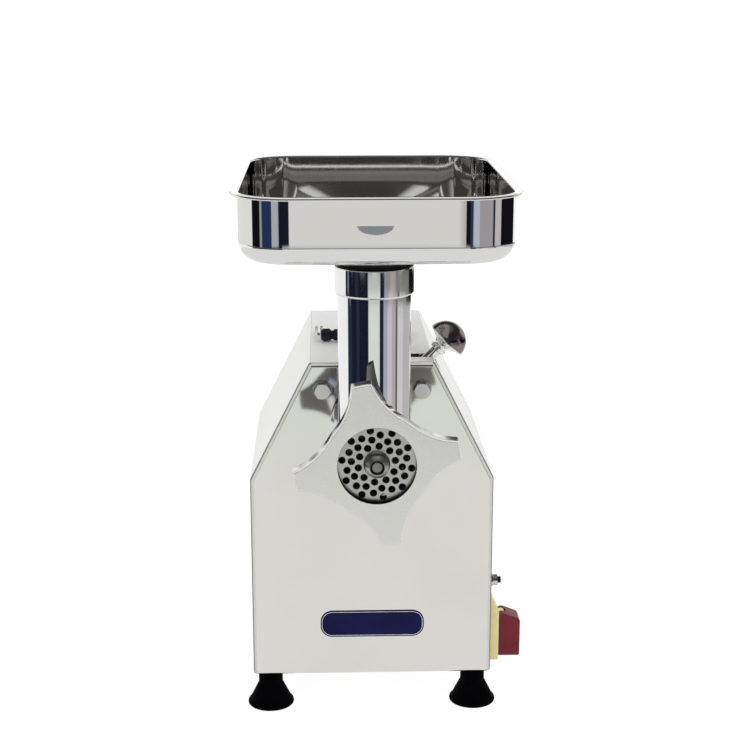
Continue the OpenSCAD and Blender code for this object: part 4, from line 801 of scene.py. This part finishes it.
def make_ring_nut():
    """The nut's four hollow-sided lobes, its mouth and its skirt in one closed skin."""
    low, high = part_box("ring_nut")
    deep = high.y - low.y
    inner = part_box("grinding_plate")[0].y - 0.2 * mm - low.y
    base, tip, side = 43.7 * mm, 67.3 * mm, 60 * mm
    mouth, lobe, skirt_r, bore = 31.4 * mm, 14 * mm, 41.8 * mm, 39.48 * mm
    turn, spread = math.radians(10.7), math.radians(40)
    edge, skirt_edge, mouth_edge = 1.6 * mm, 0.8 * mm, 0.3 * mm
    # angles that keep the points of neighbouring arcs apart
    tip_gap, base_gap = 0.02, 0.04

    def outline(inset):
        b, t, s, c = base - inset, tip - inset, side + inset, base + side
        at_c = math.acos((c * c + s * s - t * t) / (2 * c * s))
        at_o = math.acos((c * c + t * t - s * s) / (2 * c * t))
        points = []

        def sweep(cx, cz, r, a0, a1, count):
            for i in range(count + 1):
                a = a0 + (a1 - a0) * i / count
                points.append((cx + r * math.cos(a), cz + r * math.sin(a)))

        for q in range(4):
            a = turn + math.pi / 2 * q
            lo, hi = a - spread, a + spread
            sweep(c * math.cos(lo), c * math.sin(lo), s, lo + math.pi, lo + math.pi - at_c, 20)
            sweep(0, 0, t, lo + at_o + tip_gap, hi - at_o - tip_gap, 10)
            sweep(c * math.cos(hi), c * math.sin(hi), s, hi + math.pi + at_c, hi + math.pi, 20)
            sweep(0, 0, b, hi + base_gap, a + math.pi / 2 - spread - base_gap, 4)
        return points

    angles = [math.atan2(p[1], p[0]) for p in outline(0)]
    rings = []

    def shape(inset, depth):
        rings.append([(p[0], low.y + depth, axis_z + p[1]) for p in outline(inset)])

    def circle(radius, depth):
        rings.append([(radius * math.cos(a), low.y + depth, axis_z + radius * math.sin(a)) for a in angles])

    for i in range(7):
        a = math.radians(90 * i / 6)
        shape(edge - edge * math.sin(a), edge - edge * math.cos(a))
    for i in range(7):
        a = math.radians(90 * i / 6)
        shape(edge - edge * math.cos(a), lobe - edge + edge * math.sin(a))
    circle(skirt_r, lobe)
    circle(skirt_r, deep - skirt_edge)
    circle(skirt_r - skirt_edge, deep)
    circle(bore, deep)
    circle(bore, inner)
    circle(mouth, inner)
    circle(mouth, mouth_edge)
    circle(mouth + mouth_edge, 0)
    points, faces = ring_skin(rings, closed=True)
    make_piece("ring_nut_casting", points, faces, "ring_nut", "satin_steel", ["ring_nut"])


def lathe(name, origin, axis, profile, body, finish, replaced=(), count=72, hollow=False):
    """A turned piece: profile is (radius, way along the axis); a hollow one's closes on itself."""
    turn = Vector(axis).to_track_quat("Z", "Y")
    rings = []
    for radius, along in profile:
        ring = []
        for i in range(count):
            a = 2 * math.pi * i / count
            spoke = Vector((radius * math.cos(a), radius * math.sin(a), along))
            ring.append(tuple(Vector(origin) + turn @ spoke))
        rings.append(ring)
    points, faces = ring_skin(rings, closed=hollow)
    if not hollow:
        faces.append(tuple(range(count - 1, -1, -1)))
        faces.append(tuple(range(len(points) - count, len(points))))
    return make_piece(name, points, faces, body, finish, replaced)


def make_collar():
    """The collar's turned skin, rounded in to the neck at its foot."""
    outer, neck, foot_w, foot_h, steps = 32.33 * mm, 30.1 * mm, 2.2 * mm, 1.8 * mm, 6
    top, bottom = -0.5 * mm, -23.1 * mm
    foot = bottom + foot_h
    profile = [(31 * mm, top), (31.95 * mm, top), (outer, top - 0.4 * mm), (outer, foot + 0.1 * mm)]
    for i in range(1, steps + 1):
        a = math.radians(90 * i / steps)
        profile.append((neck + foot_w * math.cos(a), foot - foot_h * math.sin(a)))
    # the back of the skin lies in the collar's metal
    profile.append((29 * mm, bottom))
    lathe("collar_skin", (0, neck_y, collar_z), (0, 0, 1), profile, "head", "neck_steel",
          count=144, hollow=True)


def make_knob():
    """The locking screw's mushroom knob: a bright flare up to its rim and a polished dome painted dark,
    standing in for the dark surroundings it mirrors.
    """
    origin = (0, middle("locking_screw").y, axis_z)
    rim_r, tip, dome, centre = 18 * mm, 110.5 * mm, 17 * mm, 0.05 * mm
    foot = tip - dome
    ball = (rim_r ** 2 + dome ** 2) / (2 * dome)
    profile = [(4.9 * mm, foot - 12 * mm), (7.1 * mm, foot - 12 * mm), (7.5 * mm, foot - 11.6 * mm),
               (7.5 * mm, foot - 9 * mm), (7.1 * mm, foot - 8.6 * mm), (6.5 * mm, foot - 8 * mm)]
    steps = 16
    for i in range(1, steps + 1):
        t = i / steps
        profile.append(((6.5 + 10.6 * t ** 2.2) * mm, foot + (-8 + 7.4 * t) * mm))
    profile += [(17.7 * mm, foot - 0.3 * mm), (rim_r, foot + 0.2 * mm), (17.8 * mm, foot + 0.9 * mm),
                (centre, foot + 0.9 * mm)]
    lathe("knob_flare", origin, (1, 0, 1), profile, "locking_screw", "knob_steel", ["locking_knob"])
    profile = [(centre, foot + 0.5 * mm), (17.6 * mm, foot + 0.5 * mm), (17.9 * mm, foot + 0.9 * mm)]
    half = math.acos(1 - dome / ball)
    steps = 24
    for i in range(1, steps + 1):
        a = half * 0.96 * (1 - i / steps)
        profile.append((max(ball * math.sin(a), centre), tip - ball + ball * math.cos(a)))
    lathe("knob_dome", origin, (1, 0, 1), profile, "locking_screw", "knob_painted_dark")


def flat_plate(name, width, height, radius, front, back, body, finish, replaced=(), hole=0.0):
    """A plate with rounded corners about the badge's middle; hole is the width of a frame's border."""
    cx, _, cz = middle("badge")

    def ring(inset, y):
        shape = rounded_rect(width - 2 * inset, height - 2 * inset, radius - inset, corner=10, side=2)
        return [(cx + p[0], y, cz + p[1]) for p in shape]

    soft = 0.15 * mm
    rings = [ring(0, back), ring(0, front + soft), ring(soft, front)]
    if hole:
        rings += [ring(hole - soft, front), ring(hole, front + soft), ring(hole, back)]
        points, faces = ring_skin(rings, closed=True)
    else:
        points, faces = ring_skin(rings)
        count = len(rings[0])
        faces += [tuple(range(count - 1, -1, -1)), tuple(range(len(points) - count, len(points)))]
    return make_piece(name, points, faces, body, finish, replaced)


def make_badge():
    """A blank enamelled plate with a pale line inside its edge."""
    low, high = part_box("badge")
    width, height, corner = high.x - low.x, high.z - low.z, 10.5 * mm
    flat_plate("badge_plate", width, height, corner, low.y + 0.25 * mm, high.y, "housing",
               "badge_blue", ["badge"])
    inset, line = 1.1 * mm, 0.55 * mm
    flat_plate("badge_line", width - 2 * inset, height - 2 * inset, corner - inset, low.y + 0.15 * mm,
               low.y + 0.3 * mm, "housing", "badge_line", hole=line)


make_camera()
make_world()
make_floor()
make_lamp("key", (-1.2, -1.6, 1.9), (0, -0.05, 0.2), (1.4, 1.4), 22)
make_lamp("fill", (1.5, -1.2, 1.2), (0, -0.05, 0.2), (1.4, 1.4), 12)
make_lamp("back", (0.2, 1.8, 1.6), (0, 0, 0.2), (1.6, 1.2), 12)
make_finishes()
dress_nodes()
make_tray()
make_ring_nut()
make_collar()
make_knob()
make_badge()

scene.view_settings.view_transform = "Standard"
